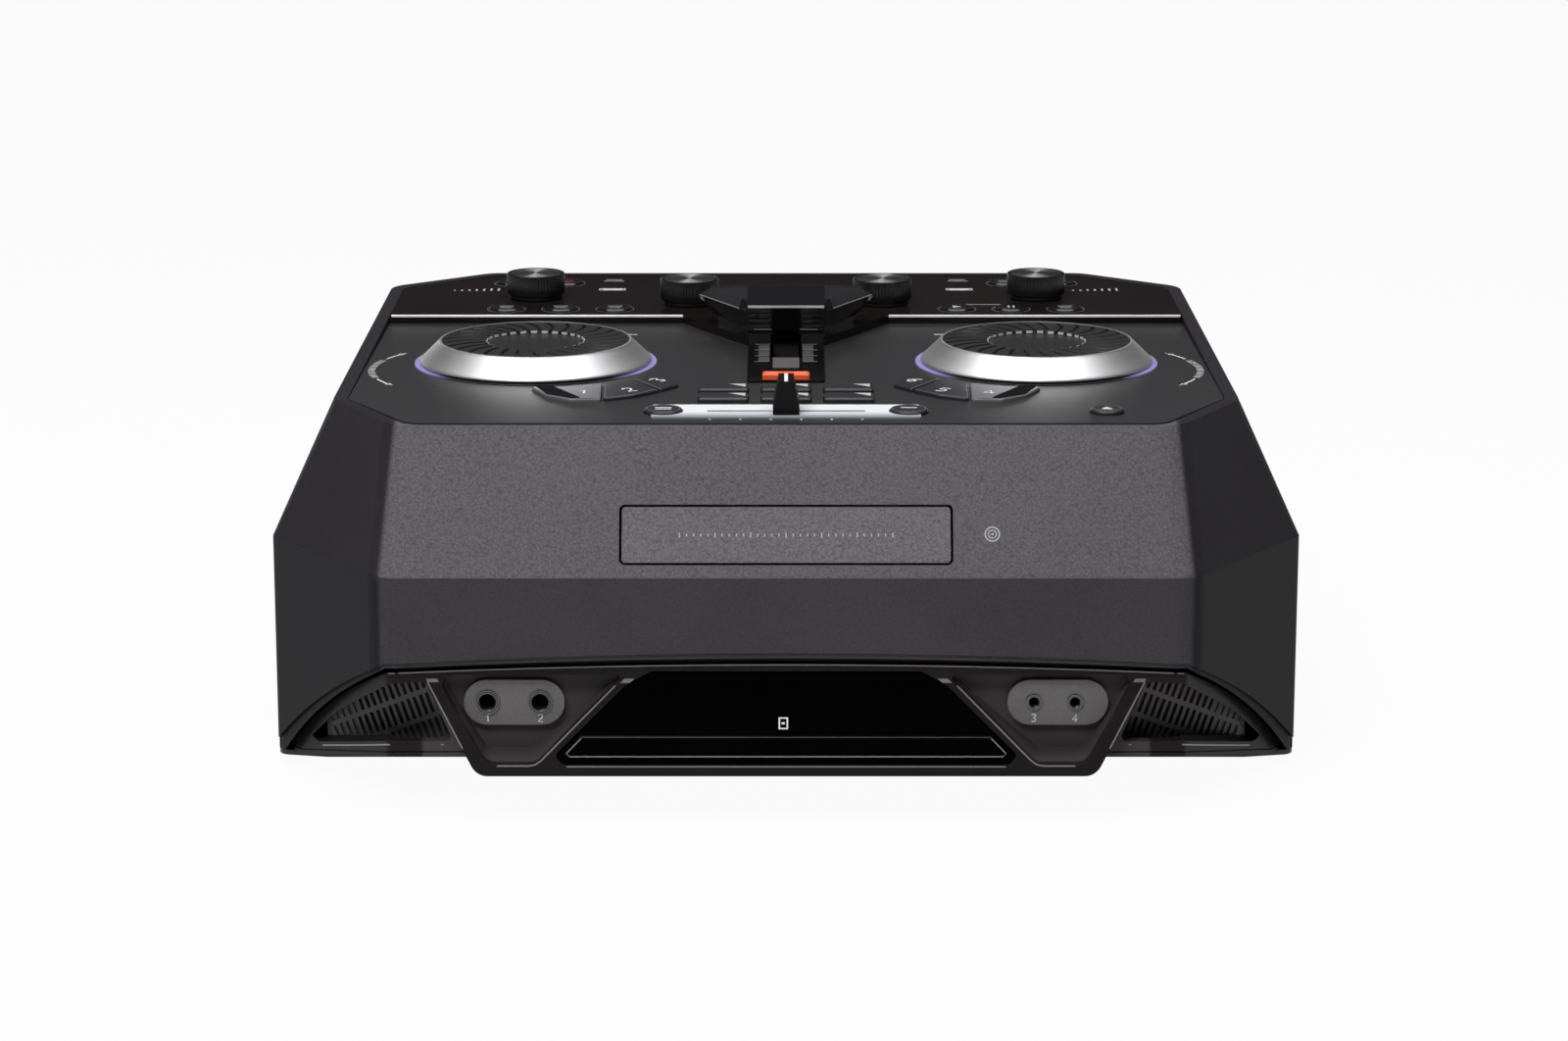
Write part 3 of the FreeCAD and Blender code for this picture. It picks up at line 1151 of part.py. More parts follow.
def make_disc_loader():
    floor_top = TRAY_Z[0] - SLIDE_GAP
    low = floor_top - LOADER_SHEET
    half = LOADER_HALF
    rear = LOADER_REAR_Y
    parts = [box(-half, half, LOADER_FRONT_Y, rear, low, floor_top),
             box(-half, half, rear - LOADER_SHEET, rear, low, LOADER_TOP_Z),
             box(-half, half, DISC_Y - CLAMP_RADIUS, DISC_Y + CLAMP_RADIUS, LOADER_TOP_Z - 2, LOADER_TOP_Z),
             cylinder(0, DISC_Y, CLAMP_RADIUS, TRAY_Z[1] + CLAMP_GAP, LOADER_TOP_Z - 1),
             cylinder(0, DISC_Y, SPINDLE_RADIUS, low, TRAY_Z[0] + SPINDLE_RISE)]
    for side in (-1, 1):
        parts.append(box(side * half, side * (half - LOADER_SHEET), LOADER_FRONT_Y, rear, low, LOADER_TOP_Z))
        leg = side * (half - LOADER_LEG_HALF * 2)
        for y in LOADER_LEG_Y:
            foot = rectangle(leg, y, LOADER_LEG_HALF * 2, LOADER_LEG_HALF * 2)
            parts.append(prism(foot, 0.5, BASE_TOP, floor_top - 1))
    return fused(parts)


# Boards
def make_front_board():
    y, width, depth = FRONT_BOARD
    parts = [prism(rectangle(0.0, y, width, depth), BOARD_CORNER, BOARD_Z, BOARD_TOP)]
    for side in (-1, 1):
        parts.extend([cylinder(side * px, py, POST_RADIUS, BOARD_Z, LEDGE_Z) for px, py in FRONT_POSTS])
    places = [middle(outline) for outline in deck_outlines()] + [(px, py) for px, py, radius in deck_rounds()]
    parts.extend([cylinder(px, py, SWITCH_RADIUS, BOARD_Z, SWITCH_Z) for px, py in places])
    half, reach = TRACK_SLOT
    track_front = FADER_Y - TRACK_DEPTH
    track_rear = FADER_Y + TRACK_DEPTH
    track = box(-TRACK_HALF, TRACK_HALF, track_front, track_rear, BOARD_Z, DECK_Z - TRACK_DROP)
    parts.append(track.cut(box(-half, half, FADER_Y - reach, FADER_Y + reach, BOARD_Z + TRACK_FLOOR, FAR)))
    return fused(parts)


def make_rear_board(side):
    x, y, width, depth = REAR_BOARD
    post_top = PANEL_Z - PANEL_SKIN
    parts = [prism(rectangle(side * x, y, width, depth), BOARD_CORNER, BOARD_Z, BOARD_TOP)]
    parts.extend([cylinder(side * px, py, POST_RADIUS, BOARD_Z, post_top) for px, py in REAR_POSTS])
    for px, py in panel_buttons():
        if px * side > 0:
            parts.append(cylinder(px, py, SWITCH_RADIUS, BOARD_Z, SWITCH_Z))
    bores = []
    for px, py in knob_places():
        if px * side > 0:
            parts.append(cylinder(px, py, KNOB_HOUSING[0], BOARD_Z, BOARD_Z + KNOB_HOUSING[1]))
            parts.append(cylinder(px, py, KNOB_BUSH, BOARD_Z, post_top))
            bores.append(cylinder(px, py, KNOB_SHAFT + RUN_GAP, KNOB_SHAFT_Z - SHAFT_END_GAP, FAR))
    return fused(parts).cut(Part.makeCompound(bores))


def make_control_boards():
    solids = [make_front_board(), make_rear_board(-1), make_rear_board(1)]
    for x, y in jog_centres():
        bush = cylinder(x, y, JOG_BUSH, BOARD_Z, LEDGE_Z)
        solids.append(bush.cut(cylinder(x, y, SHAFT_RADIUS + RUN_GAP, BOARD_TOP, FAR)))
    return solids


def make_main_board():
    z0 = BASE_TOP + STANDOFF
    z1 = z0 + BOARD_THICKNESS
    y, width, depth = MAIN_BOARD
    board = [prism(rectangle(0.0, y, width, depth), BOARD_CORNER, z0, z1)]
    for px, py in rectangle(0.0, y, width - STANDOFF_INSET * 2, depth - STANDOFF_INSET * 2):
        board.append(cylinder(px, py, STANDOFF_RADIUS, BASE_TOP, z0))
    tx, ty, t_width, t_depth, t_height = TRANSFORMER
    transformer = prism(rectangle(tx, ty, t_width, t_depth), 2.0, z1, z1 + t_height)
    sx, sy = SINK_PLACE
    length, plate, height = SINK_SIZE
    fin_pitch = (length - FIN_SIZE[0] - 4) / (FIN_COUNT - 1)
    sink = [box(sx, sx + length, sy, sy + plate, z1, z1 + height)]
    for i in range(FIN_COUNT):
        x = sx + 2 + i * fin_pitch
        sink.append(box(x, x + FIN_SIZE[0], sy + plate, sy + plate + FIN_SIZE[1], z1, z1 + height))
    capacitors = [cylinder(px, py, CAPACITOR_SIZE[0], z1, z1 + CAPACITOR_SIZE[1]) for px, py in CAPACITORS]
    return [fused(board), transformer, fused(sink)] + capacitors


# Rear panel and sockets
def rear_socket_places():
    speakers = [(x, z, SPEAKER_RADIUS) for x in SPEAKER_X for z in SPEAKER_Z]
    lines = [(x, z, LINE_RADIUS) for x in LINE_X for z in LINE_Z]
    return speakers + lines


def make_rear_panel():
    z0, z1 = REAR_OPENING_Z
    half = REAR_OPENING_HALF
    y1 = REAR_Y - WALL
    y0 = y1 - REAR_SHEET
    panel = box(-half - REAR_LAP, half + REAR_LAP, y0, y1, z0 - REAR_LAP, z1 + REAR_LAP)
    inlet_hole = rectangle(INLET_X, INLET_Z, INLET_BODY[0] + FIT_GAP * 2, INLET_BODY[1] + FIT_GAP * 2)
    cuts = [front_prism(inlet_hole, 0.3, y0 - 1, y1 + 1)]
    for x, z, radius in rear_socket_places():
        cuts.append(forward_cylinder(x, z, radius - SOCKET_NECK + FIT_GAP, y0 - 1, y1 + 1))
    for i in range(PANEL_SLOT_COUNT):
        x = PANEL_SLOT_X + i * PANEL_SLOT_PITCH + PANEL_SLOT_SIZE[0] / 2
        slot = rectangle(x, PANEL_SLOT_Z, PANEL_SLOT_SIZE[0], PANEL_SLOT_SIZE[1])
        cuts.append(front_prism(slot, PANEL_SLOT_SIZE[0] / 2 - 0.1, y0 - 1, y1 + 1))
    return panel.cut(Part.makeCompound(cuts))


def make_usb_socket(x, y):
    width, depth = USB_SIZE
    floor = PANEL_Z - USB_DEPTH
    tongue_half, tongue_low, tongue_high = USB_TONGUE
    sleeve = prism(rectangle(x, y, width, depth), 0.5, BOARD_TOP, PANEL_Z - KNOB_GAP)
    cavity = prism(rectangle(x, y, width - USB_WALL * 2, depth - USB_WALL * 2), 0.2, floor, FAR)
    tongue = box(x - tongue_half, x + tongue_half, y + tongue_low, y + tongue_high, floor, PANEL_Z - 1.5)
    return sleeve.cut(cavity.cut(tongue))


def make_mains_inlet():
    x = INLET_X
    z = INLET_Z
    y1 = REAR_Y - WALL
    pin_radius, pin_length, pin_x = INLET_PIN
    flange = front_prism(rectangle(x, z, INLET_FLANGE[0], INLET_FLANGE[1]), 2.0, y1, y1 + REAR_SHEET)
    body = front_prism(rectangle(x, z, INLET_BODY[0], INLET_BODY[1]), 0.3, y1 - INLET_DEPTH, y1 + 0.5)
    mouth = front_prism(rectangle(x, z, INLET_MOUTH[0], INLET_MOUTH[1]), 4.8, y1 - INLET_DEPTH + 2, y1 + 5)
    pin_back = y1 - INLET_DEPTH + 1
    pin_front = pin_back + pin_length
    pins = [forward_cylinder(x + side * pin_x, z, pin_radius, pin_back, pin_front) for side in (-1, 1)]
    return fused([fused([flange, body]).cut(mouth)] + pins)


def make_sockets():
    solids = [make_usb_socket(x, y) for x, y in usb_places()] + [make_mains_inlet()]
    y1 = REAR_Y - WALL
    for x, z, radius in rear_socket_places():
        neck = radius - SOCKET_NECK
        profile = [(SOCKET_BORE, y1 - SOCKET_DEPTH), (neck, y1 - SOCKET_DEPTH), (neck, y1), (radius, y1),
                   (radius, y1 + 1.2), (radius - 0.8, y1 + SOCKET_RISE), (SOCKET_BORE, y1 + SOCKET_RISE)]
        solids.append(turned_forward(profile, x, z))
    return solids


# Write every piece
def save_cabinet():
    shell = cabinet_shell()
    save("base_plate", [make_base_plate()])
    save("feet", make_feet())
    save("rear_case", [make_rear_case(shell)])
    save("front_cover", [make_front_cover(shell)])
    save("rear_panel", [make_rear_panel()])
    save("sockets", make_sockets())
    save("lower_bezel", [make_lower_bezel()])
    save("vent_grilles", [make_grille(-1), make_grille(1)])
    save("jack_plates", make_jack_plates())
    save("jacks", make_jacks())
    save("display_window", [make_display_window()])
    save("main_board", make_main_board())
    save("control_boards", make_control_boards())


def save_deck():
    save("deck_panel", [make_deck_panel()])
    save("control_panel", [make_control_panel()])
    save("trim_strips", make_trim_strips())
    save("light_rings", make_light_rings())
    save("fader_plate", [make_fader_plate()])
    save("fader_cap", [make_fader_cap()])
    save("lever_gate", [make_lever_gate()])
    save("lever_bracket", [make_lever_bracket()])
    save("lever_arm", [make_lever_arm()])
    save("lever_handle", [make_lever_handle()])
    save("tray_door", [make_tray_door()])
    save("disc_tray", [make_disc_tray()])
    save("disc_loader", [make_disc_loader()])


def save_controls():
    for name, (x, y) in zip(("left", "right"), jog_centres()):
        save("jog_rim_" + name, [make_jog_rim(x, y)])
        save("jog_top_" + name, [make_jog_top(x, y)])
    for i, (x, y) in enumerate(knob_places()):
        save("knob_" + str(i + 1), [make_knob(x, y)])
    for i, (x, y) in enumerate(panel_buttons()):
        button = round_button(x, y, BUTTON_RADIUS, PANEL_Z + BUTTON_HEIGHT, PANEL_Z - PANEL_SKIN)
        save("panel_button_" + str(i + 1), [button])
    for name, (x, y, radius) in zip(("fader_button_left", "fader_button_right", "tray_button"), deck_rounds()):
        save(name, [round_button(x, y, radius, DECK_Z + DECK_BUTTON_HEIGHT, LEDGE_Z)])
    for i, outline in enumerate(pad_outlines()):
        save("pad_" + str(i + 1), [shaped_button(outline, DECK_Z + PAD_HEIGHT, LEDGE_Z)])
    for side, name in ((-1, "left"), (1, "right")):
        for index in range(len(KEY_OUTLINES)):
            save("key_" + name + "_" + str(index + 1), [arc_key(side, index)])
    save("red_button", [shaped_button(red_outline(), DECK_Z + GATE_THICKNESS + RED_HEIGHT, LEDGE_Z)])


os.makedirs("parts", exist_ok=True)
save_cabinet()
save_deck()
save_controls()
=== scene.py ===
"""Looks of the hi-fi console: finishes of its solid pieces, its wheels and knobs, its printing and trim."""

import logging
import math
from dataclasses import dataclass, field
from enum import Enum
from typing import Callable, Mapping, Optional, Sequence, Union

import bmesh
import bpy
import numpy as np
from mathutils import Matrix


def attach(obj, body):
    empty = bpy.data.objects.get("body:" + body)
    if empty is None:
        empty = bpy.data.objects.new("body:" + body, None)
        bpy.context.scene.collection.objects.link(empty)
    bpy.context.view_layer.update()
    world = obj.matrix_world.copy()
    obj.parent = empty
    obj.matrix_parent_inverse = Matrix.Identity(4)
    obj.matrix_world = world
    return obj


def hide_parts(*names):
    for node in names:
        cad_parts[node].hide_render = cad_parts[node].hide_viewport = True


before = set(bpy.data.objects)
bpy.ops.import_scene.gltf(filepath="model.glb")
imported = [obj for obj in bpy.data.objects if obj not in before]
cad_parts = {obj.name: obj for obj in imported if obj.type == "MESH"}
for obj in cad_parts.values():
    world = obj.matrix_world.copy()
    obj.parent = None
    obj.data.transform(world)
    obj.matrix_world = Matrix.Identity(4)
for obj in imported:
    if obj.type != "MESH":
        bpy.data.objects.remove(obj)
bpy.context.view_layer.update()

Colour = tuple[float, float, float]
Place = tuple[float, float, float]
Spot = tuple[float, float]
Path = Union[np.ndarray, Sequence[Spot]]
Value = Union["Sock", float, int, Sequence[float]]
Face = Union["Plane", "FrontFace"]

LOG = logging.getLogger("console")
MM = 0.001
FULL_TURN = 2.0 * np.pi
CABINET = "cabinet"
LEVER_BODY = "lever"
DECK_Z = 164.0
PANEL_Z = 168.0
JOG_SPOT: Spot = (113.8, -16.0)
CHIN_REACH = 197.063
CHIN_LEAN = 0.36036
CASE_COLOUR: Colour = (0.0265, 0.0240, 0.0295)
WHITE: Colour = (1.0, 1.0, 1.0)
BLACK: Colour = (0.0, 0.0, 0.0)


class Side(Enum):
    """The left and right halves of the console, as signs of X."""

    LEFT = -1
    RIGHT = 1

    @property
    def word(self) -> str:
        """The side's name in lower case."""
        return self.name.lower()

    def place(self, spot: Spot) -> Spot:
        """A spot of the right half, carried to this side."""
        return self.value * spot[0], spot[1]

    def mirror(self, path: Path) -> np.ndarray:
        """A path (n, 2) of the right half, carried to this side."""
        return np.asarray(path, float) * (self.value, 1.0)


# Shader graphs


def maths(operation: str, swapped: bool = False) -> Callable[..., "Sock"]:
    """A method of Sock that adds one Math node.

    Args:
        operation: the Math node's operation.
        swapped: whether the socket is the second input.
    Returns:
        The method.
    """

    def method(sock: "Sock", *terms: Value) -> "Sock":
        """The Math node's result."""
        inputs = (*terms, sock) if swapped else (sock, *terms)
        return sock.graph.node("ShaderNodeMath", {"operation": operation}, dict(enumerate(inputs)))

    return method


class Sock:
    """One shader socket; arithmetic on it adds Math nodes to its graph."""

    __add__ = __radd__ = maths("ADD")
    __sub__, __rsub__ = maths("SUBTRACT"), maths("SUBTRACT", True)
    __mul__ = __rmul__ = maths("MULTIPLY")
    __truediv__ = maths("DIVIDE")
    __pow__ = maths("POWER")
    __abs__ = maths("ABSOLUTE")
    least, most = maths("MINIMUM"), maths("MAXIMUM")

    def __init__(self, graph: "Graph", socket: bpy.types.NodeSocket) -> None:
        """Keeps the graph and the socket."""
        self.graph = graph
        self.socket = socket

    def clamp(self) -> "Sock":
        """The value held between 0 and 1."""
        return self.least(1.0).most(0.0)

    def rise(self, low: float, high: float) -> "Sock":
        """A smooth step from 0 at low to 1 at high."""
        t = ((self - low) / (high - low)).clamp()
        return t * t * (3.0 - 2.0 * t)

    def sway(self, middle: float, swing: float) -> "Sock":
        """A noise of 0 to 1, carried to a swing about a middle value."""
        return self * swing + (middle - swing / 2.0)


class Graph:
    """A node tree with one method that adds any node."""

    cell_smoothness = 0.6
    bevel_samples = 4

    def __init__(self, tree: bpy.types.NodeTree) -> None:
        """Empties the tree."""
        self.tree = tree
        self.tree.nodes.clear()

    def node(self, kind: str, settings: Mapping[str, object], inputs: Mapping[object, Value],
             out: Union[int, str] = 0) -> Sock:
        """Adds one node.

        Args:
            kind: the node's type name.
            settings: attributes set first.
            inputs: values or sockets by input name or number.
            out: the output to return.
        Returns:
            The chosen output.
        """
        made = self.tree.nodes.new(kind)
        for key, value in settings.items():
            setattr(made, key, value)
        for key, value in inputs.items():
            if isinstance(value, Sock):
                self.tree.links.new(value.socket, made.inputs[key])
            else:
                made.inputs[key].default_value = value
        return Sock(self, made.outputs[out])

    def point(self, kind: str = "Object") -> Sock:
        """Texture coordinates; Object ones are in metres."""
        return self.node("ShaderNodeTexCoord", {}, {}, kind)

    def split(self, vector: Sock) -> tuple[Sock, ...]:
        """The three parts of a vector."""
        node = self.node("ShaderNodeSeparateXYZ", {}, {0: vector}).socket.node
        return tuple(Sock(self, out) for out in node.outputs)

    def noise(self, vector: Sock, scale: float, detail: float = 2.0, rough: float = 0.5) -> Sock:
        """Noise from 0 to 1 at a scale in cells per unit."""
        inputs = {"Vector": vector, "Scale": scale, "Detail": detail, "Roughness": rough}
        return self.node("ShaderNodeTexNoise", {}, inputs)

    def cells(self, vector: Sock, scale: float) -> Sock:
        """Distance to the nearest cell centre, at a scale in cells per unit."""
        inputs = {"Vector": vector, "Scale": scale, "Smoothness": self.cell_smoothness}
        return self.node("ShaderNodeTexVoronoi", {"feature": "SMOOTH_F1"}, inputs)

    def mix(self, factor: Value, first: Value, second: Value) -> Sock:
        """A colour between two colours."""
        pair = [(*c, 1.0) if isinstance(c, tuple) else c for c in (first, second)]
        return self.node("ShaderNodeMix", {"data_type": "RGBA"}, {0: factor, 6: pair[0], 7: pair[1]}, 2)

    def tone(self, factor: Value, colour: Colour, spread: float) -> Sock:
        """The colour, darker and lighter by a share as factor goes from 0 to 1."""
        low = tuple(c * (1.0 - spread) for c in colour)
        high = tuple(min(1.0, c * (1.0 + spread)) for c in colour)
        return self.mix(factor, low, high)

    def bump(self, height: Sock, depth_mm: float, edge_mm: float = 0.0) -> Sock:
        """A normal from a height of 0 to 1 that stands for depth_mm, over edges rounded by edge_mm."""
        inputs = {"Height": height, "Distance": depth_mm * MM, "Strength": 1.0}
        if edge_mm > 0.0:
            settings = {"samples": self.bevel_samples}
            inputs["Normal"] = self.node("ShaderNodeBevel", settings, {"Radius": edge_mm * MM})
        return self.node("ShaderNodeBump", {}, inputs)

    def surface(self, links: Mapping[str, Value], constants: Mapping[str, object]) -> None:
        """Ends the graph in a Principled shader.

        Args:
            links: what changes over the surface.
            constants: numbers and colours that are the same all over.
        """
        self.output(self.node("ShaderNodeBsdfPrincipled", {}, {**constants, **links}))

    def output(self, shader: Sock, kind: str = "ShaderNodeOutputMaterial") -> None:
        """Links a shader to the tree's output."""
        end = self.tree.nodes.new(kind)
        self.tree.links.new(shader.socket, end.inputs[0])


# Finishes


@dataclass(frozen=True)
class Finish:
    """A named surface with a colour; kinds of finish fill in the nodes."""

    name: str
    colour: Colour

    def draw(self, graph: Graph) -> None:
        """Adds the nodes of this finish."""
        raise NotImplementedError

    def material(self) -> bpy.types.Material:
        """The Blender material, made once."""
        name = "looks_" + self.name
        made = bpy.data.materials.get(name)
        if made is None:
            made = bpy.data.materials.new(name)
            made.use_nodes = True
            self.draw(Graph(made.node_tree))
        return made


@dataclass(frozen=True)
class Moulded(Finish):
    """Moulded plastic with a pebbled grain."""

    roughness: float = 0.5
    grain_mm: float = 0.8
    depth_mm: float = 0.05
    spread: float = 0.25
    specular: float = 0.4
    edge_mm: float = 0.0
    fine_ratio: float = 1.6
    fine_rough: float = 0.6
    fine_weight: float = 1.6
    pebble_middle: float = 0.45
    pebble_weight: float = 0.9
    cloud_scale: float = 14.0
    cloud_share: float = 0.2
    swing: float = 0.08

    def draw(self, graph: Graph) -> None:
        """Pebbles from cells and noise move the colour and the height; a slow cloud moves the polish."""
        point = graph.point()
        grain = self.grain_mm * MM
        pebble = graph.cells(point, 1.0 / grain)
        fine = graph.noise(point, self.fine_ratio / grain, rough=self.fine_rough)
        cloud = graph.noise(point, self.cloud_scale)
        speck = fine.sway(0.0, self.fine_weight) + (self.pebble_middle - pebble) * self.pebble_weight
        colour, height = self.zones(graph, point, (speck + 0.5).clamp(), cloud)
        graph.surface({"Base Color": colour, "Roughness": cloud.sway(self.roughness, self.swing),
                       "Normal": graph.bump(height, self.depth_mm, self.edge_mm)},
                      {"Specular IOR Level": self.specular})

    def zones(self, graph: Graph, point: Sock, speck: Sock, cloud: Sock) -> tuple[Sock, Sock]:
        """The colour and the height over the surface: the same grain all over.

        Args:
            graph: the material's graph.
            point: the place in metres; not used here.
            speck: the grain, from 0 to 1.
            cloud: the slow noise, from 0 to 1.
        Returns:
            The colour, and the height from 0 to 1.
        """
        share = speck * (1.0 - self.cloud_share) + cloud * self.cloud_share
        return graph.tone(share, self.colour, self.spread), speck


@dataclass(frozen=True)
class Faceted(Moulded):
    """The front cover's plastic: grained on its face, calmer below a level, dark and smooth on its flanks;
    the band below the level and the flanks are painted darker, partly painted shade.
    """

    level_mm: float = 104.0
    level_blend: float = 0.6
    # Colours of the band and the flanks: partly their own tone, partly painted shade.
    low_tone_and_shade: Colour = (0.059, 0.0545, 0.0605)
    low_grain: float = 0.2
    side_tone_and_shade: Colour = CASE_COLOUR
    flank_foot_darkening: float = 0.55
    side_calm: float = 0.85
    corner_low: Spot = (172.0, 104.0)
    corner_high: Spot = (166.6, 164.0)
    corner_blend: float = 1.5
    calm_shares: Spot = (0.25, 0.5)

    def zones(self, graph: Graph, point: Sock, speck: Sock, cloud: Sock) -> tuple[Sock, Sock]:
        """The face's grain, mixed with the band below the level and the flanks outside the corner line, both
        painted darker as partly painted shade.

        The corner line runs from corner_low up to corner_high, as (x, z).
        Args:
            graph: the material's graph.
            point: the place in metres.
            speck: the grain, from 0 to 1.
            cloud: the slow noise, from 0 to 1.
        Returns:
            The colour, and the height from 0 to 1.
        """
        face, height = super().zones(graph, point, speck, cloud)
        calm = speck * self.calm_shares[0] + cloud * self.calm_shares[1]
        # Painted shade: the flanks darker still below the level.
        flank_foot_shade = tuple(c * self.flank_foot_darkening for c in self.side_tone_and_shade)
        low, flank, foot = (graph.tone(calm, c, self.spread)
                            for c in (self.low_tone_and_shade, self.side_tone_and_shade, flank_foot_shade))
        x, _, z = graph.split(point)
        above = z.rise((self.level_mm - self.level_blend) * MM, (self.level_mm + self.level_blend) * MM)
        (low_x, low_z), (high_x, high_z) = self.corner_low, self.corner_high
        t = ((z - low_z * MM) / ((high_z - low_z) * MM)).clamp()
        corner = t * ((high_x - low_x) * MM) + low_x * MM
        beyond = (abs(x) - corner).rise(-self.corner_blend * MM, self.corner_blend * MM)
        colour = graph.mix(beyond, graph.mix(above, low, face), graph.mix(above, foot, flank))
        height = height * (above * (1.0 - self.low_grain) + self.low_grain)
        return colour, height * (1.0 - beyond * self.side_calm)


@dataclass(frozen=True)
class Brushed(Finish):
    """A satin sheet with fine straight brushing along X, and a second colour towards its front edge."""

    roughness: float = 0.34
    spread: float = 0.2
    specular: float = 0.5
    metallic: float = 0.0
    front_colour: Optional[Colour] = None
    front_mm: Spot = (0.0, 1.0)
    streaks: Place = (9.0, 2600.0, 2600.0)
    streak_rough: float = 0.6
    cloud_scale: float = 9.0
    cloud_share: float = 0.2
    swing: float = 0.16
    depth_mm: float = 0.004

    def draw(self, graph: Graph) -> None:
        """Long thin noise along X moves the colour, the roughness and a slight height."""
        point = graph.point()
        long = graph.node("ShaderNodeVectorMath", {"operation": "MULTIPLY"}, {0: point, 1: self.streaks})
        streak = graph.noise(long, 1.0, detail=3.0, rough=self.streak_rough)
        cloud = graph.noise(point, self.cloud_scale)
        share = streak * (1.0 - self.cloud_share) + cloud * self.cloud_share
        colour = graph.tone(share, self.colour, self.spread)
        if self.front_colour is not None:
            back = graph.split(point)[1].rise(self.front_mm[0] * MM, self.front_mm[1] * MM)
            colour = graph.mix(back, graph.tone(share, self.front_colour, self.spread), colour)
        graph.surface({"Base Color": colour, "Roughness": streak.sway(self.roughness, self.swing),
                       "Normal": graph.bump(streak, self.depth_mm)},
                      {"Specular IOR Level": self.specular, "Metallic": self.metallic})


@dataclass(frozen=True)
class Gloss(Finish):
    """Polished plastic with a faint cloud in its colour and polish."""

    roughness: float = 0.12
    spread: float = 0.25
    specular: float = 0.5
    edge_mm: float = 0.0
    peel_mm: float = 0.006
    cloud_scale: float = 22.0
    peel_scale: float = 420.0
    swing: float = 0.06

    def draw(self, graph: Graph) -> None:
        """Slow noise moves the colour and the roughness; fine noise gives a slight orange peel."""
        point = graph.point()
        cloud = graph.noise(point, self.cloud_scale, detail=3.0)
        peel = graph.noise(point, self.peel_scale, detail=1.0)
        graph.surface({"Base Color": self.tint(graph, point, cloud),
                       "Roughness": cloud.sway(self.roughness, self.swing),
                       "Normal": graph.bump(peel, self.peel_mm, self.edge_mm)},
                      {"Specular IOR Level": self.specular})

    def tint(self, graph: Graph, point: Sock, cloud: Sock) -> Sock:
        """The colour over the surface: one colour, clouded.

        Args:
            graph: the material's graph.
            point: the place in metres; not used here.
            cloud: the slow noise, from 0 to 1.
        Returns:
            The colour.
        """
        return graph.tone(cloud, self.colour, self.spread)


@dataclass(frozen=True)
class Recessed(Gloss):
    """The lower front's plastic, with a second, lighter colour in its recesses, partly painted light."""

    deep_tone_and_light: Colour = (0.062, 0.056, 0.060)
    deep_mm: Spot = (2.0, 5.0)
    half_mm: Spot = (154.0, 156.0)

    def tint(self, graph: Graph, point: Sock, cloud: Sock) -> Sock:
        """The lighter second colour, partly painted light, where it is behind the chin's leaning face and
        nearer the middle than the wings.

        Args:
            graph: the material's graph.
            point: the place in metres.
            cloud: the slow noise, from 0 to 1.
        Returns:
            The colour.
        """
        x, y, z = graph.split(point)
        # Painted light: the recesses lighter than the chin, partly their own paler tone.
        behind = (y - z * CHIN_LEAN + CHIN_REACH * MM).rise(self.deep_mm[0] * MM, self.deep_mm[1] * MM)
        deep = behind * (1.0 - abs(x).rise(self.half_mm[0] * MM, self.half_mm[1] * MM))
        return graph.mix(deep, super().tint(graph, point, cloud),
                         graph.tone(cloud, self.deep_tone_and_light, self.spread))


@dataclass(frozen=True)
class Turned(Finish):
    """A turned surface with fine rings about an upright axis."""

    centre_mm: Spot = (0.0, 0.0)
    roughness: float = 0.25
    metallic: float = 1.0
    ring_mm: float = 0.35
    depth_mm: float = 0.006
    spread: float = 0.08
    specular: float = 0.5
    anisotropic: float = 0.0
    rotation: float = 0.25
    swing: float = 0.12

    def draw(self, graph: Graph) -> None:
        """Noise on the distance from the axis and the height makes rings of tone and height."""
        back = (-self.centre_mm[0] * MM, -self.centre_mm[1] * MM, 0.0)
        moved = graph.node("ShaderNodeMapping", {}, {"Vector": graph.point(), "Location": back})
        x, y, z = graph.split(moved)
        radius = (x * x + y * y) ** 0.5
        rings = graph.node("ShaderNodeTexNoise", {"noise_dimensions": "1D"},
                           {"W": radius + z, "Scale": 1.0 / (self.ring_mm * MM), "Detail": 2.0})
        graph.surface({"Base Color": graph.tone(rings, self.colour, self.spread),
                       "Roughness": rings.sway(self.roughness, self.swing),
                       "Normal": graph.bump(rings, self.depth_mm)},
                      {"Metallic": self.metallic, "Specular IOR Level": self.specular,
                       "Anisotropic": self.anisotropic, "Anisotropic Rotation": self.rotation})


@dataclass(frozen=True)
class Ink(Finish):
    """Screen-printed ink that is thinner here and there."""

    roughness: float = 0.45
    metallic: float = 0.0
    scale: float = 1800.0
    spread: float = 0.12
    swing: float = 0.1

    def draw(self, graph: Graph) -> None:
        """One noise moves the colour and the roughness."""
        cloud = graph.noise(graph.point(), self.scale)
        graph.surface({"Base Color": graph.tone(cloud, self.colour, self.spread),
                       "Roughness": cloud.sway(self.roughness, self.swing)}, {"Metallic": self.metallic})


@dataclass(frozen=True)
class Plated(Ink):
    """Bright plated trim: a thin coat like ink, with a slower and fainter noise."""

    metallic: float = 1.0
    scale: float = 60.0
    spread: float = 0.05
    swing: float = 0.06


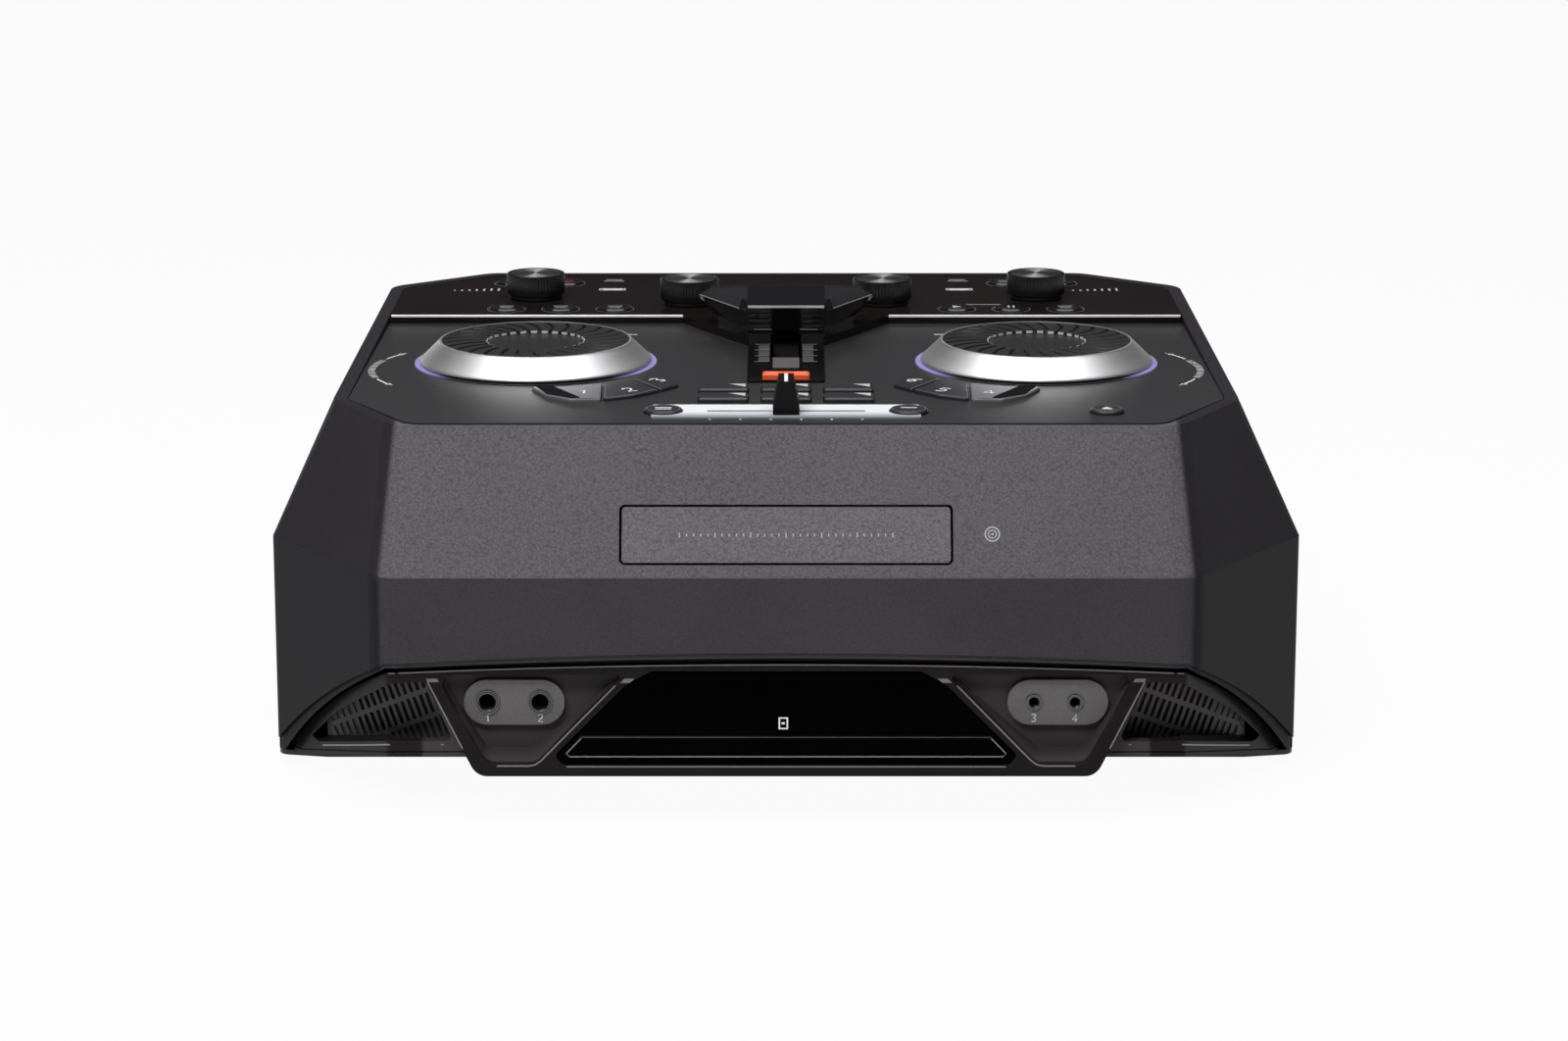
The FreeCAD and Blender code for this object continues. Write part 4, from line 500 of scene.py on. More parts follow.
@dataclass(frozen=True)
class Glowing(Finish):
    """A light guide that glows at the left and right ends of its ring."""

    unlit: Colour = (0.020, 0.020, 0.022)
    strength: float = 0.26
    reach_mm: float = 55.0
    lit_range: Spot = (0.62, 0.92)
    cloud_scale: float = 40.0
    spread: float = 0.2
    roughness: float = 0.35

    def draw(self, graph: Graph) -> None:
        """The glow rises with the distance from the wheel's axis along X, as a share of the ring's reach."""
        point = graph.point()
        aside = abs(abs(graph.split(point)[0]) - JOG_SPOT[0] * MM) / (self.reach_mm * MM)
        share = aside.rise(*self.lit_range)
        lit = graph.tone(graph.noise(point, self.cloud_scale, detail=1.0), self.colour, self.spread)
        graph.surface({"Base Color": graph.mix(share, self.unlit, lit),
                       "Emission Color": graph.mix(share, BLACK, lit)},
                      {"Emission Strength": self.strength, "Roughness": self.roughness})


GRAINED: Mapping[str, float] = {"roughness": 0.55, "grain_mm": 1.15, "depth_mm": 0.14, "spread": 0.44,
                                "specular": 0.10}
# The front cover: its lower band and flanks are painted darker than the face, partly painted shade.
FRONT = Faceted("front_grain", (0.108, 0.1015, 0.1125), **GRAINED)
DOOR = Moulded("door_grain", (0.135, 0.128, 0.140), **GRAINED)
CASE = Moulded("case_satin", CASE_COLOUR, grain_mm=0.6, depth_mm=0.015, spread=0.2, specular=0.10)
BASE = Moulded("base_coat", (0.035, 0.035, 0.037), grain_mm=0.9, depth_mm=0.04, spread=0.2)
GRILLE = Moulded("grille_matt", (0.120, 0.110, 0.117), roughness=0.55, grain_mm=0.5, depth_mm=0.02,
                 spread=0.2, edge_mm=0.15)
JACK_PLATE = Moulded("jack_plate_satin", (0.155, 0.143, 0.152), roughness=0.45, grain_mm=0.5,
                     depth_mm=0.015, edge_mm=0.3)
RUBBER = Moulded("foot_rubber", (0.018, 0.018, 0.018), roughness=0.8, grain_mm=0.6)
BOARD = Moulded("board_lacquer", (0.02, 0.11, 0.05), roughness=0.35, grain_mm=1.5, depth_mm=0.01)
TRAY = Moulded("tray_satin", (0.025, 0.025, 0.027), roughness=0.4, grain_mm=0.5, depth_mm=0.012)
INNER = Moulded("inner_black", (0.006, 0.006, 0.006), roughness=0.6, depth_mm=0.02, specular=0.1)
DECK = Brushed("deck_brushed", (0.027, 0.0255, 0.0275), spread=0.35, specular=0.45)
SILVER_PLATE = Brushed("fader_plate_silver", (0.92, 0.945, 0.98), roughness=0.38, spread=0.02, metallic=0.08,
                       front_colour=(0.22, 0.25, 0.29), front_mm=(-142.0, -127.0))
PANEL = Gloss("panel_gloss", (0.0115, 0.0072, 0.0068), roughness=0.10, specular=0.2, peel_mm=0.001)
# The bezel's recesses are painted lighter, partly painted light.
BEZEL = Recessed("bezel_gloss", (0.0155, 0.0128, 0.0142), roughness=0.3, specular=0.07, edge_mm=0.6,
                 peel_mm=0.002)
WINDOW = Gloss("window_black", (0.0014, 0.0010, 0.0013), roughness=0.05, specular=0.12, edge_mm=0.3,
               peel_mm=0.0)
SOCKET = Gloss("socket_black", (0.012, 0.012, 0.013), roughness=0.3, edge_mm=0.2)
KEY = Gloss("key_satin", (0.027, 0.027, 0.030), roughness=0.33, specular=0.32, edge_mm=0.4)
# Painted reflection: the first key by each wheel is made lighter for the silver cone's reflection in it.
KEY_PAINTED_REFLECTION = Gloss("key_painted_reflection_satin", (0.125, 0.125, 0.130), roughness=0.33, edge_mm=0.4)
# On the first key a black scoop patch is left out of that painted reflection.
SCOOP = Gloss("key_scoop_black", (0.012, 0.012, 0.013), roughness=0.6, specular=0.0, peel_mm=0.0)
PANEL_KEY = Gloss("panel_key_gloss", (0.011, 0.009, 0.009), roughness=0.14, edge_mm=0.3)
LEVER = Gloss("lever_gloss", (0.0055, 0.0055, 0.0070), edge_mm=0.5)
GATE = Gloss("gate_gloss", (0.0045, 0.0045, 0.0050), roughness=0.15, specular=0.3, edge_mm=0.3)
CAP = Gloss("cap_black", (0.0050, 0.0048, 0.0054), roughness=0.25, specular=0.1, edge_mm=0.3, peel_mm=0.001)
RED = Gloss("red_orange", (1.0, 0.115, 0.032), roughness=0.4, edge_mm=0.4)
WING_GREY = Gloss("wing_grey_satin", (0.020, 0.0195, 0.0215), roughness=0.45, specular=0.02, peel_mm=0.0)
LENS_GREY = Gloss("gate_lens_grey", (0.120, 0.105, 0.115), roughness=0.35, spread=0.35, peel_mm=0.03)
LADDER_GREY = Gloss("ladder_grey", (0.075, 0.075, 0.080), roughness=0.35)
# Painted highlights: pale gloss strips, bright and faint, that stand for light caught on edges, rims and
# feet.
PAINTED_GLINT = Gloss("painted_edge_glint", (0.200, 0.195, 0.200), roughness=0.25)
PAINTED_DIM_HIGHLIGHT = Gloss("painted_dim_edge_highlight", (0.060, 0.058, 0.060), roughness=0.25)
CHROME = Plated("trim_chrome", (0.92, 0.92, 0.93), roughness=0.22, metallic=0.3)
STEEL = Plated("screw_steel", (0.42, 0.42, 0.43), roughness=0.25)
VIOLET = Glowing("ring_violet", (0.24, 0.225, 0.46))
WHITE_INK = Ink("ink_white", (0.90, 0.90, 0.91))
GREY_INK = Ink("ink_grey", (0.26, 0.26, 0.27))
SOFT_INK = Ink("ink_soft", (0.46, 0.46, 0.47))
RED_INK = Ink("ink_red", (0.45, 0.05, 0.03))
PALE_INK = Ink("ink_pale", (0.85, 0.62, 0.55))
# Painted highlights in silver, on the vanes' inner ends and the pads' corners.
PAINTED_SILVER_HIGHLIGHT = Ink("painted_silver_highlight", (0.66, 0.66, 0.68), roughness=0.35, metallic=0.15)


# Meshes


def grid_faces(rows: int, columns: int, wrap_rows: bool = False) -> np.ndarray:
    """Quads of a grid of points numbered row by row, whose last column joins the first.

    Args:
        rows, columns: the grid's size.
        wrap_rows: whether the last row joins the first.
    Returns:
        An array of four point numbers for each quad.
    """
    a, b = np.meshgrid(np.arange(rows if wrap_rows else rows - 1), np.arange(columns), indexing="ij")
    up, over = (a + 1) % rows, (b + 1) % columns
    quads = [a * columns + b, a * columns + over, up * columns + over, up * columns + b]
    return np.stack(quads, -1).reshape(-1, 4)


@dataclass(frozen=True)
class Plane:
    """A flat place on the object: an origin and the directions along and across, in millimetres."""

    origin: Place
    along: Place = (1.0, 0.0, 0.0)
    across: Place = (0.0, 1.0, 0.0)

    def at(self, flat: np.ndarray, lift: Union[float, np.ndarray]) -> np.ndarray:
        """Points (n, 3): origin + u * along + v * across + lift * out."""
        along, across = np.array(self.along), np.array(self.across)
        out = np.reshape(lift, (-1, 1)) * np.cross(along, across)
        return np.array(self.origin) + flat[:, :1] * along + flat[:, 1:2] * across + out


@dataclass(frozen=True)
class FrontFace:
    """An upright face across the front that turns back beyond a corner on each side."""

    corner: float
    front_y: float
    slope: float

    def at(self, flat: np.ndarray, lift: float) -> np.ndarray:
        """Points (n, 3) of (x, z): y is the front, plus slope times x past the corner, less the lift."""
        past = np.maximum(np.abs(flat[:, 0]) - self.corner, 0.0)
        return np.stack([flat[:, 0], self.front_y + past * self.slope - lift, flat[:, 1]], -1)


def level(z: float) -> Plane:
    """A level plane at a height."""
    return Plane((0.0, 0.0, z))


def upright(y: float, right: float = 1.0) -> Plane:
    """An upright plane with flat points (right * x, z): it faces the front, or the rear if right is -1."""
    return Plane((0.0, y, 0.0), (right, 0.0, 0.0), (0.0, 0.0, 1.0))


def rear(y: float) -> Plane:
    """An upright plane that faces the rear."""
    return upright(y, -1.0)


DECK_TOP = level(DECK_Z)
PANEL_TOP = level(PANEL_Z)


def polar(centre: Spot, radius: Union[float, np.ndarray], turn: np.ndarray) -> tuple[np.ndarray, np.ndarray]:
    """X and Y at a radius and an angle about a centre."""
    return centre[0] + radius * np.cos(turn), centre[1] + radius * np.sin(turn)


def arc_path(centre: Spot, radius: float, start: float, end: float, count: int) -> np.ndarray:
    """Points on a circle from one angle to another, in degrees."""
    return np.stack(polar(centre, radius, np.radians(np.linspace(start, end, count))), 1)


def circle(centre: Spot, radius: float, count: int) -> np.ndarray:
    """Points round a circle, without the first one again."""
    return arc_path(centre, radius, 0.0, 360.0, count + 1)[:-1]


def bow_path(half: float, low: float, high: float, count: int = 60) -> np.ndarray:
    """Points of a shallow arch: low at both ends and high in the middle, as one less the square."""
    t = np.linspace(-1.0, 1.0, count)
    return np.stack([half * t, high - (high - low) * t ** 2], 1)


def box(x: Spot, y: Spot) -> list[Spot]:
    """The corners of a rectangle."""
    return [(x[0], y[0]), (x[1], y[0]), (x[1], y[1]), (x[0], y[1])]


def about(middle: float, half: float) -> Spot:
    """Both ends of a span about its middle."""
    return middle - half, middle + half


def rounded(outline: Path, radius: float, steps: int = 6, most: float = 0.45) -> np.ndarray:
    """A closed outline with its corners eased.

    Each corner p between its neighbours becomes a quadratic curve from p + cut * (to the last corner) through
    p to p + cut * (to the next corner).
    Args:
        outline: the corners.
        radius: how far each curve reaches along the edges.
        steps: points on each curve.
        most: the largest share of an edge that a curve takes.
    Returns:
        Points (n, 2).
    """
    corner = np.asarray(outline, float)
    to_last, to_next = np.roll(corner, 1, 0) - corner, np.roll(corner, -1, 0) - corner
    last_length = np.linalg.norm(to_last, axis=1, keepdims=True)
    next_length = np.linalg.norm(to_next, axis=1, keepdims=True)
    cut = np.minimum(radius, most * np.minimum(last_length, next_length))
    start = corner + to_last / last_length * cut
    end = corner + to_next / next_length * cut
    t = np.linspace(0.0, 1.0, steps)[None, :, None]
    curve = (1 - t) ** 2 * start[:, None] + 2 * t * (1 - t) * corner[:, None] + t ** 2 * end[:, None]
    return curve.reshape(-1, 2)


@dataclass
class Shape:
    """Points and faces, in millimetres, that become one piece."""

    points: list = field(default_factory=list, init=False)
    faces: list = field(default_factory=list, init=False)
    count: int = field(default=0, init=False)

    def add(self, points: np.ndarray, closed: bool = False) -> "Shape":
        """Adds a grid of points (r, c, 3) whose columns go round, and its rows too if it is closed."""
        quads = grid_faces(*points.shape[:2], closed)
        self.points.append(points.reshape(-1, 3))
        self.faces.extend((quads + self.count).tolist())
        self.count += self.points[-1].shape[0]
        return self

    def loft(self, rings: np.ndarray, closed: bool = False) -> "Shape":
        """Adds closed sections (n, k, 3) carried along a path, with both ends capped unless it is a loop."""
        rows, columns = rings.shape[:2]
        self.add(rings, closed)
        if not closed:
            for base in (self.count - rows * columns, self.count - columns):
                self.faces.append(list(range(base, base + columns)))
        return self

    def revolve(self, profile: Path, centre: Spot, segments: int = 96, face: Plane = level(0.0)) -> "Shape":
        """Adds a profile of (radius, lift) turned about an axis that stands on a plane.

        The point at angle a is centre + radius * (cos a, sin a) at its lift. The profile is closed, or starts
        and ends on the axis.
        Args:
            profile: radius and lift along the section.
            centre: the axis on the plane.
            segments: steps round the axis.
            face: the plane.
        Returns:
            This shape.
        """
        section = np.array(profile)
        turn = np.linspace(0.0, FULL_TURN, segments, endpoint=False)
        flat = np.stack(polar(centre, section[:, :1], turn), -1).reshape(-1, 2)
        points = face.at(flat, np.repeat(section[:, 1], segments))
        return self.add(points.reshape(len(section), segments, 3), bool(section[0, 0] > 0.0))

    def ribbon(self, path: Path, width: float, face: Face, low: float, high: float,
               closed: bool = False) -> "Shape":
        """Adds a flat bar that follows a path on a face.

        At each path point the bar's four corners are the point plus or minus half the width along the path's
        normal, at the low and the high level.
        Args:
            path: points (n, 2) on the face.
            width: the bar's width.
            face: where the path lies.
            low, high: levels above the face.
            closed: whether the path is a loop.
        Returns:
            This shape.
        """
        path = np.asarray(path, float)
        tangent = np.roll(path, -1, 0) - np.roll(path, 1, 0) if closed else np.gradient(path, axis=0)
        tangent = tangent / np.linalg.norm(tangent, axis=1, keepdims=True)
        reach = np.stack([-tangent[:, 1], tangent[:, 0]], 1) * width / 2.0
        left, right = path + reach, path - reach
        corners = ((left, low), (right, low), (right, high), (left, high))
        return self.loft(np.stack([face.at(flat, lift) for flat, lift in corners], 1), closed)

    def skin(self, grid: np.ndarray, thickness: float) -> "Shape":
        """Adds a sheet of even thickness in Z over a grid (r, c, 3): each row and its copy below."""
        below = grid[:, ::-1] - np.array([0.0, 0.0, thickness])
        return self.loft(np.concatenate([grid, below], 1))

    def piece(self, name: str, finish: Finish, body: str, smooth_deg: float = 30.0) -> bpy.types.Object:
        """Makes the Blender object, welded, with its faces turned outwards.

        Args:
            name: the piece's name.
            finish: its surface.
            body: the body that it moves with.
            smooth_deg: edges sharper than this stay sharp.
        Returns:
            The object.
        """
        mesh = bpy.data.meshes.new(name)
        mesh.from_pydata((np.concatenate(self.points) * MM).tolist(), [], self.faces)
        work = bmesh.new()
        work.from_mesh(mesh)
        bmesh.ops.remove_doubles(work, verts=work.verts, dist=1e-7)
        bmesh.ops.recalc_face_normals(work, faces=work.faces)
        work.to_mesh(mesh)
        work.free()
        mesh.shade_smooth()
        mesh.set_sharp_from_angle(angle=math.radians(smooth_deg))
        mesh.materials.append(finish.material())
        made = bpy.data.objects.new(name, mesh)
        bpy.context.scene.collection.objects.link(made)
        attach(made, body)
        LOG.info("piece %s on %s", name, body)
        return made


DIGITS = {
    "1": [(0.1, 0.75), (0.35, 1.0), (0.35, 0.0)],
    "2": [(0.0, 0.78), (0.12, 0.97), (0.45, 0.97), (0.58, 0.75), (0.5, 0.52), (0.0, 0.0), (0.6, 0.0)],
    "3": [(0.0, 0.95), (0.45, 1.0), (0.58, 0.77), (0.25, 0.53), (0.58, 0.3), (0.45, 0.02), (0.0, 0.05)],
    "4": [(0.45, 0.0), (0.45, 1.0), (0.0, 0.3), (0.65, 0.3)],
    "5": [(0.55, 1.0), (0.05, 1.0), (0.02, 0.55), (0.42, 0.6), (0.58, 0.32), (0.42, 0.02), (0.0, 0.06)],
    "6": [(0.5, 1.0), (0.12, 0.6), (0.02, 0.25), (0.22, 0.0), (0.48, 0.05), (0.58, 0.3), (0.4, 0.52),
          (0.08, 0.42)],
}
DIGIT_MIDDLE = np.array([0.3, 0.5])
DIGIT_WEIGHT = 0.13
RING_STEPS = 48
DOT_STEPS = 16


@dataclass
class Print(Shape):
    """Flat ink on a face: lines, bars, rings, dots, arrowheads and numerals."""

    face: Face = DECK_TOP
    low: float = -0.02
    high: float = 0.05

    def line(self, path: Path, width: float, closed: bool = False) -> "Print":
        """A stroke along a path."""
        self.ribbon(path, width, self.face, self.low, self.high, closed)
        return self

    def patch(self, outline: Path) -> "Print":
        """A filled outline: the outline at the low and high levels, joined by walls."""
        corners = np.asarray(outline, float)
        self.loft(np.stack([self.face.at(corners, self.low), self.face.at(corners, self.high)]))
        return self

    def bar(self, centre: Spot, length: float, width: float) -> "Print":
        """A bar along the face's first direction."""
        return self.line([(x, centre[1]) for x in about(centre[0], length / 2.0)], width)

    def post(self, x: float, ends: Spot, width: float) -> "Print":
        """A bar along the face's second direction, between two ends."""
        return self.line([(x, end) for end in ends], width)

    def ring(self, centre: Spot, radius: float, width: float) -> "Print":
        """A full circle."""
        return self.line(circle(centre, radius, RING_STEPS), width, True)

    def dot(self, centre: Spot, radius: float) -> "Print":
        """A filled disc."""
        return self.patch(circle(centre, radius, DOT_STEPS))

    def head(self, tip: Spot, length: float, heading: float, spread: float) -> "Print":
        """A filled arrowhead whose tip points along a heading, in degrees."""
        turn = np.radians(heading)
        back = np.array(tip) - length * np.array([np.cos(turn), np.sin(turn)])
        side = spread * length * np.array([-np.sin(turn), np.cos(turn)])
        return self.patch([tip, back + side, back - side])

    def numeral(self, text: str, centre: Spot, height: float, turn_deg: float = 0.0) -> "Print":
        """A numeral of straight strokes about its centre, turned by an angle."""
        turn = np.radians(turn_deg)
        spin = np.array([[np.cos(turn), np.sin(turn)], [-np.sin(turn), np.cos(turn)]])
        path = (np.array(DIGITS[text]) - DIGIT_MIDDLE) * height @ spin + np.array(centre)
        return self.line(path, height * DIGIT_WEIGHT)


def dress(finishes: Mapping[str, Finish]) -> None:
    """Gives solid pieces their finishes, by node."""
    for node, finish in finishes.items():
        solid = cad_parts[node]
        if not solid.material_slots:
            solid.data.materials.append(finish.material())
        for slot in solid.material_slots:
            slot.material = finish.material()
        LOG.info("solid %s in %s", node, finish.name)


# Sub-assemblies


@dataclass
class Cabinet:
    """The shells, the tray and the rear panel with its sockets."""

    socket_face: float = 189.4
    panel_face: float = 187.0
    case_face: float = 190.0
    speaker_x: tuple[float, ...] = (30.0, 54.0, 78.0, 102.0)
    speaker_z: Spot = (42.0, 66.0)
    speaker_ring: Spot = (3.6, 2.2)
    line_x: Spot = (-52.0, -30.0)
    line_z: Spot = (42.0, 58.0)
    line_ring: Spot = (2.8, 1.2)
    panel_screws: tuple[Spot, ...] = ((-127.0, 27.0), (127.0, 27.0), (-127.0, 84.0), (127.0, 84.0),
                                      (0.0, 27.0))
    case_screws: tuple[Spot, ...] = ((-150.0, 40.0), (150.0, 40.0), (-140.0, 118.0), (140.0, 118.0))
    screw_radius: float = 3.2
    screw_section: tuple[Spot, ...] = ((0.0, -0.4), (1.0, -0.4), (1.0, 0.2), (0.85, 0.9), (0.45, 1.25),
                                       (0.0, 1.35))
    screw_steps: int = 24
    slot_half: float = 1.5
    slot_width: float = 0.7
    slot_levels: Spot = (0.9, 1.4)
    door_face: Plane = Plane((0.0, -179.05, 110.02), across=(0.0, 0.44004, 0.89798))
    door_row: float = 12.0
    door_ticks: int = 31
    door_pitch: float = 3.0
    tick_halves: Spot = (0.6, 1.1)
    tick_group: int = 5
    tick_width: float = 0.4
    ring_spot: Spot = (87.0, 12.4)
    ring_sizes: tuple[Spot, Spot] = ((3.0, 0.5), (1.7, 0.4))
    ring_dot: float = 0.5
    number_z: float = 76.0
    number_height: float = 5.0
    bar_x: float = -19.0
    bar_size: Spot = (4.0, 0.8)

    def build(self) -> None:
        """Dresses the cabinet's solids and finishes its front and rear."""
        dress({"front_cover": FRONT, "tray_door": DOOR, "rear_case": CASE, "base_plate": BASE,
               "rear_panel": BASE, "feet": RUBBER, "sockets": SOCKET, "disc_tray": TRAY, "disc_loader": TRAY,
               "lever_bracket": INNER, "control_boards": BOARD, "main_board": BOARD})
        self.socket_rings()
        self.screws()
        self.front_marks()
        numbers = Print(rear(self.panel_face))
        for text, x in zip("1234", self.speaker_x):
            numbers.numeral(text, (-x, self.number_z), self.number_height)
        for z in self.speaker_z:
            numbers.bar((self.bar_x, z), *self.bar_size)
        numbers.piece("rear_numbers", WHITE_INK, CABINET)

    def socket_rings(self) -> None:
        """Coloured rings on the sockets: red above dark for the speakers, red above white for the lines."""
        red, dark, pale = (Print(rear(self.socket_face)) for _ in range(3))
        rows = ((dark, self.speaker_x, self.speaker_z, self.speaker_ring),
                (pale, self.line_x, self.line_z, self.line_ring))
        for lower, places, (low_z, high_z), size in rows:
            for x in places:
                red.ring((-x, high_z), *size)
                lower.ring((-x, low_z), *size)
        red.piece("socket_rings_red", RED_INK, CABINET)
        dark.piece("socket_rings_grey", GREY_INK, CABINET)
        pale.piece("socket_rings_white", WHITE_INK, CABINET)

    def front_marks(self) -> None:
        """A row of plain ticks on the tray's door, some of them longer, and a ring with a dot beside it."""
        ticks, ring = Print(self.door_face), Print(self.door_face)
        for step in range(-(self.door_ticks // 2), self.door_ticks // 2 + 1):
            half = self.tick_halves[0 if step % self.tick_group else 1]
            ticks.post(step * self.door_pitch, about(self.door_row, half), self.tick_width)
        ticks.piece("door_ticks", SOFT_INK, "tray")
        for size in self.ring_sizes:
            ring.ring(self.ring_spot, *size)
        ring.dot(self.ring_spot, self.ring_dot).piece("front_ring_mark", SOFT_INK, CABINET)

    def screws(self) -> None:
        """Pan heads turned from a section in shares of the radius, each with a dark cross laid on it as
        painted shade for its slot.
        """
        heads, slots = Shape(), Shape()
        half = self.slot_half
        profile = np.array(self.screw_section) * (self.screw_radius, 1.0)
        for y, spots in ((self.panel_face, self.panel_screws), (self.case_face, self.case_screws)):
            for x, z in spots:
                heads.revolve(profile, (-x, z), self.screw_steps, rear(y))
                # Painted shade: a black cross for each head's slot.
                for path in ([(-x - half, z), (-x + half, z)], [(-x, z - half), (-x, z + half)]):
                    slots.ribbon(path, self.slot_width, rear(y), *self.slot_levels)
        heads.piece("rear_screws", STEEL, CABINET)
        slots.piece("rear_screw_slot_shades", INNER, CABINET)


@dataclass
class LowerFront:
    """The arched lower front with its jacks, window, grilles and painted edge highlights."""

    frame_face: FrontFace = FrontFace(168.86, -176.0, 1.4434)
    chin_face: Plane = Plane((0.0, -CHIN_REACH, 0.0), across=(0.0, CHIN_LEAN, 1.0))
    frame_arch: Place = (169.0, 60.8, 64.7)
    wing_lip: tuple[Spot, ...] = ((203.0, 14.9), (186.0, 22.1), (169.6, 29.2), (146.0, 29.5))
    chin_side: tuple[Spot, ...] = ((152.4, 57.4), (144.0, 42.6), (137.2, 30.6))
    recess: tuple[Spot, ...] = ((122.5, 23.7), (109.0, 23.7), (106.4, 24.2), (104.0, 25.7), (90.0, 39.1),
                                (72.6, 55.8))
    knuckles: tuple[tuple[Spot, ...], ...] = (((154.0, 60.2), (149.4, 60.2), (147.4, 57.2), (152.2, 57.2)),
                                              ((63.4, 59.4), (67.8, 59.4), (70.4, 56.9), (66.4, 56.9)))
    edge: float = 0.6
    plate_y: float = -171.0
    jack_y: float = -172.0
    jack_z: float = 47.0
    jacks: tuple[Spot, ...] = ((-127.4, 5.0), (-104.9, 5.0), (105.7, 3.2), (123.2, 3.2))
    glints: tuple[Spot, Spot] = ((1.0, 0.3), (0.8, 0.25))
    number_z: float = 39.9
    number_height: float = 3.3
    below_bar: tuple[Spot, float, float] = ((0.0, 23.4), 186.0, 0.5)
    top_bar: tuple[Spot, float, float] = ((0.0, 35.1), 174.0, 0.4)
    bar_edge: tuple[Spot, ...] = ((-87.0, 34.6), (-93.2, 28.6), (-91.9, 27.4), (91.9, 27.4), (93.2, 28.6),
                                  (87.0, 34.6))
    bar_edge_width: float = 0.5
    bar_levels: Spot = (0.4, 0.56)
    lens_levels: Spot = (-0.71, -0.61)
    sensor: Spot = (-1.2, 40.8)
    sensor_half: Spot = (1.7, 2.1)
    sensor_bar: float = 1.36
    sensor_line: float = 0.8

    def build(self) -> None:
        """Dresses the solids, numbers the jacks and adds painted highlights on the jacks' rims and along the
        edges.
        """
        dress({"lower_bezel": BEZEL, "vent_grilles": GRILLE, "jack_plates": JACK_PLATE, "jacks": SOCKET,
               "display_window": WINDOW})
        numbers, glints = Print(upright(self.plate_y)), Print(upright(self.jack_y))
        for numeral, (x, radius) in zip("1234", self.jacks):
            numbers.numeral(numeral, (x, self.number_z), self.number_height)
            # Painted highlights round each jack's mouth.
            for share, width in self.glints:
                glints.ring((x, self.jack_z), radius * share, width)
        numbers.piece("jack_numbers", WHITE_INK, CABINET)
        glints.piece("jack_glints", PAINTED_GLINT, CABINET)
        self.edges()
        self.window()

    def edges(self) -> None:
        """Painted highlights: the crown line below the hood, the wings' lips, and the chin's and recesses'
        edges and knuckles.
        """
        arch = Print(self.frame_face).line(bow_path(*self.frame_arch), self.edge)
        chin = Print(self.chin_face)
        for side in Side:
            arch.line(side.mirror(self.wing_lip), self.edge)
            for path in (self.chin_side, self.recess):
                chin.line(side.mirror(path), self.edge)
            for outline in self.knuckles:
                chin.patch(side.mirror(outline))
        arch.piece("frame_edges", PAINTED_GLINT, CABINET)
        chin.piece("chin_edges", PAINTED_GLINT, CABINET)

    def window(self) -> None:
        """Painted highlights on the window's lower line and on the raised bar's edges, bright and faint; and
        the sensor's pale square.
        """
        Print(self.chin_face).bar(*self.below_bar).piece("window_line", PAINTED_GLINT, CABINET)
        bright = Print(self.chin_face, *self.bar_levels).line(self.bar_edge, self.bar_edge_width)
        bright.piece("window_bar_edge", PAINTED_GLINT, CABINET)
        faint = Print(self.chin_face, *self.bar_levels).bar(*self.top_bar)
        faint.piece("window_bar_top", PAINTED_DIM_HIGHLIGHT, CABINET)
        square = box(*(about(middle, half) for middle, half in zip(self.sensor, self.sensor_half)))
        mark = Print(self.chin_face, *self.lens_levels).line(square, self.sensor_line, True)
        mark.bar(self.sensor, self.sensor_bar, self.sensor_line).piece("sensor_mark", WHITE_INK, CABINET)


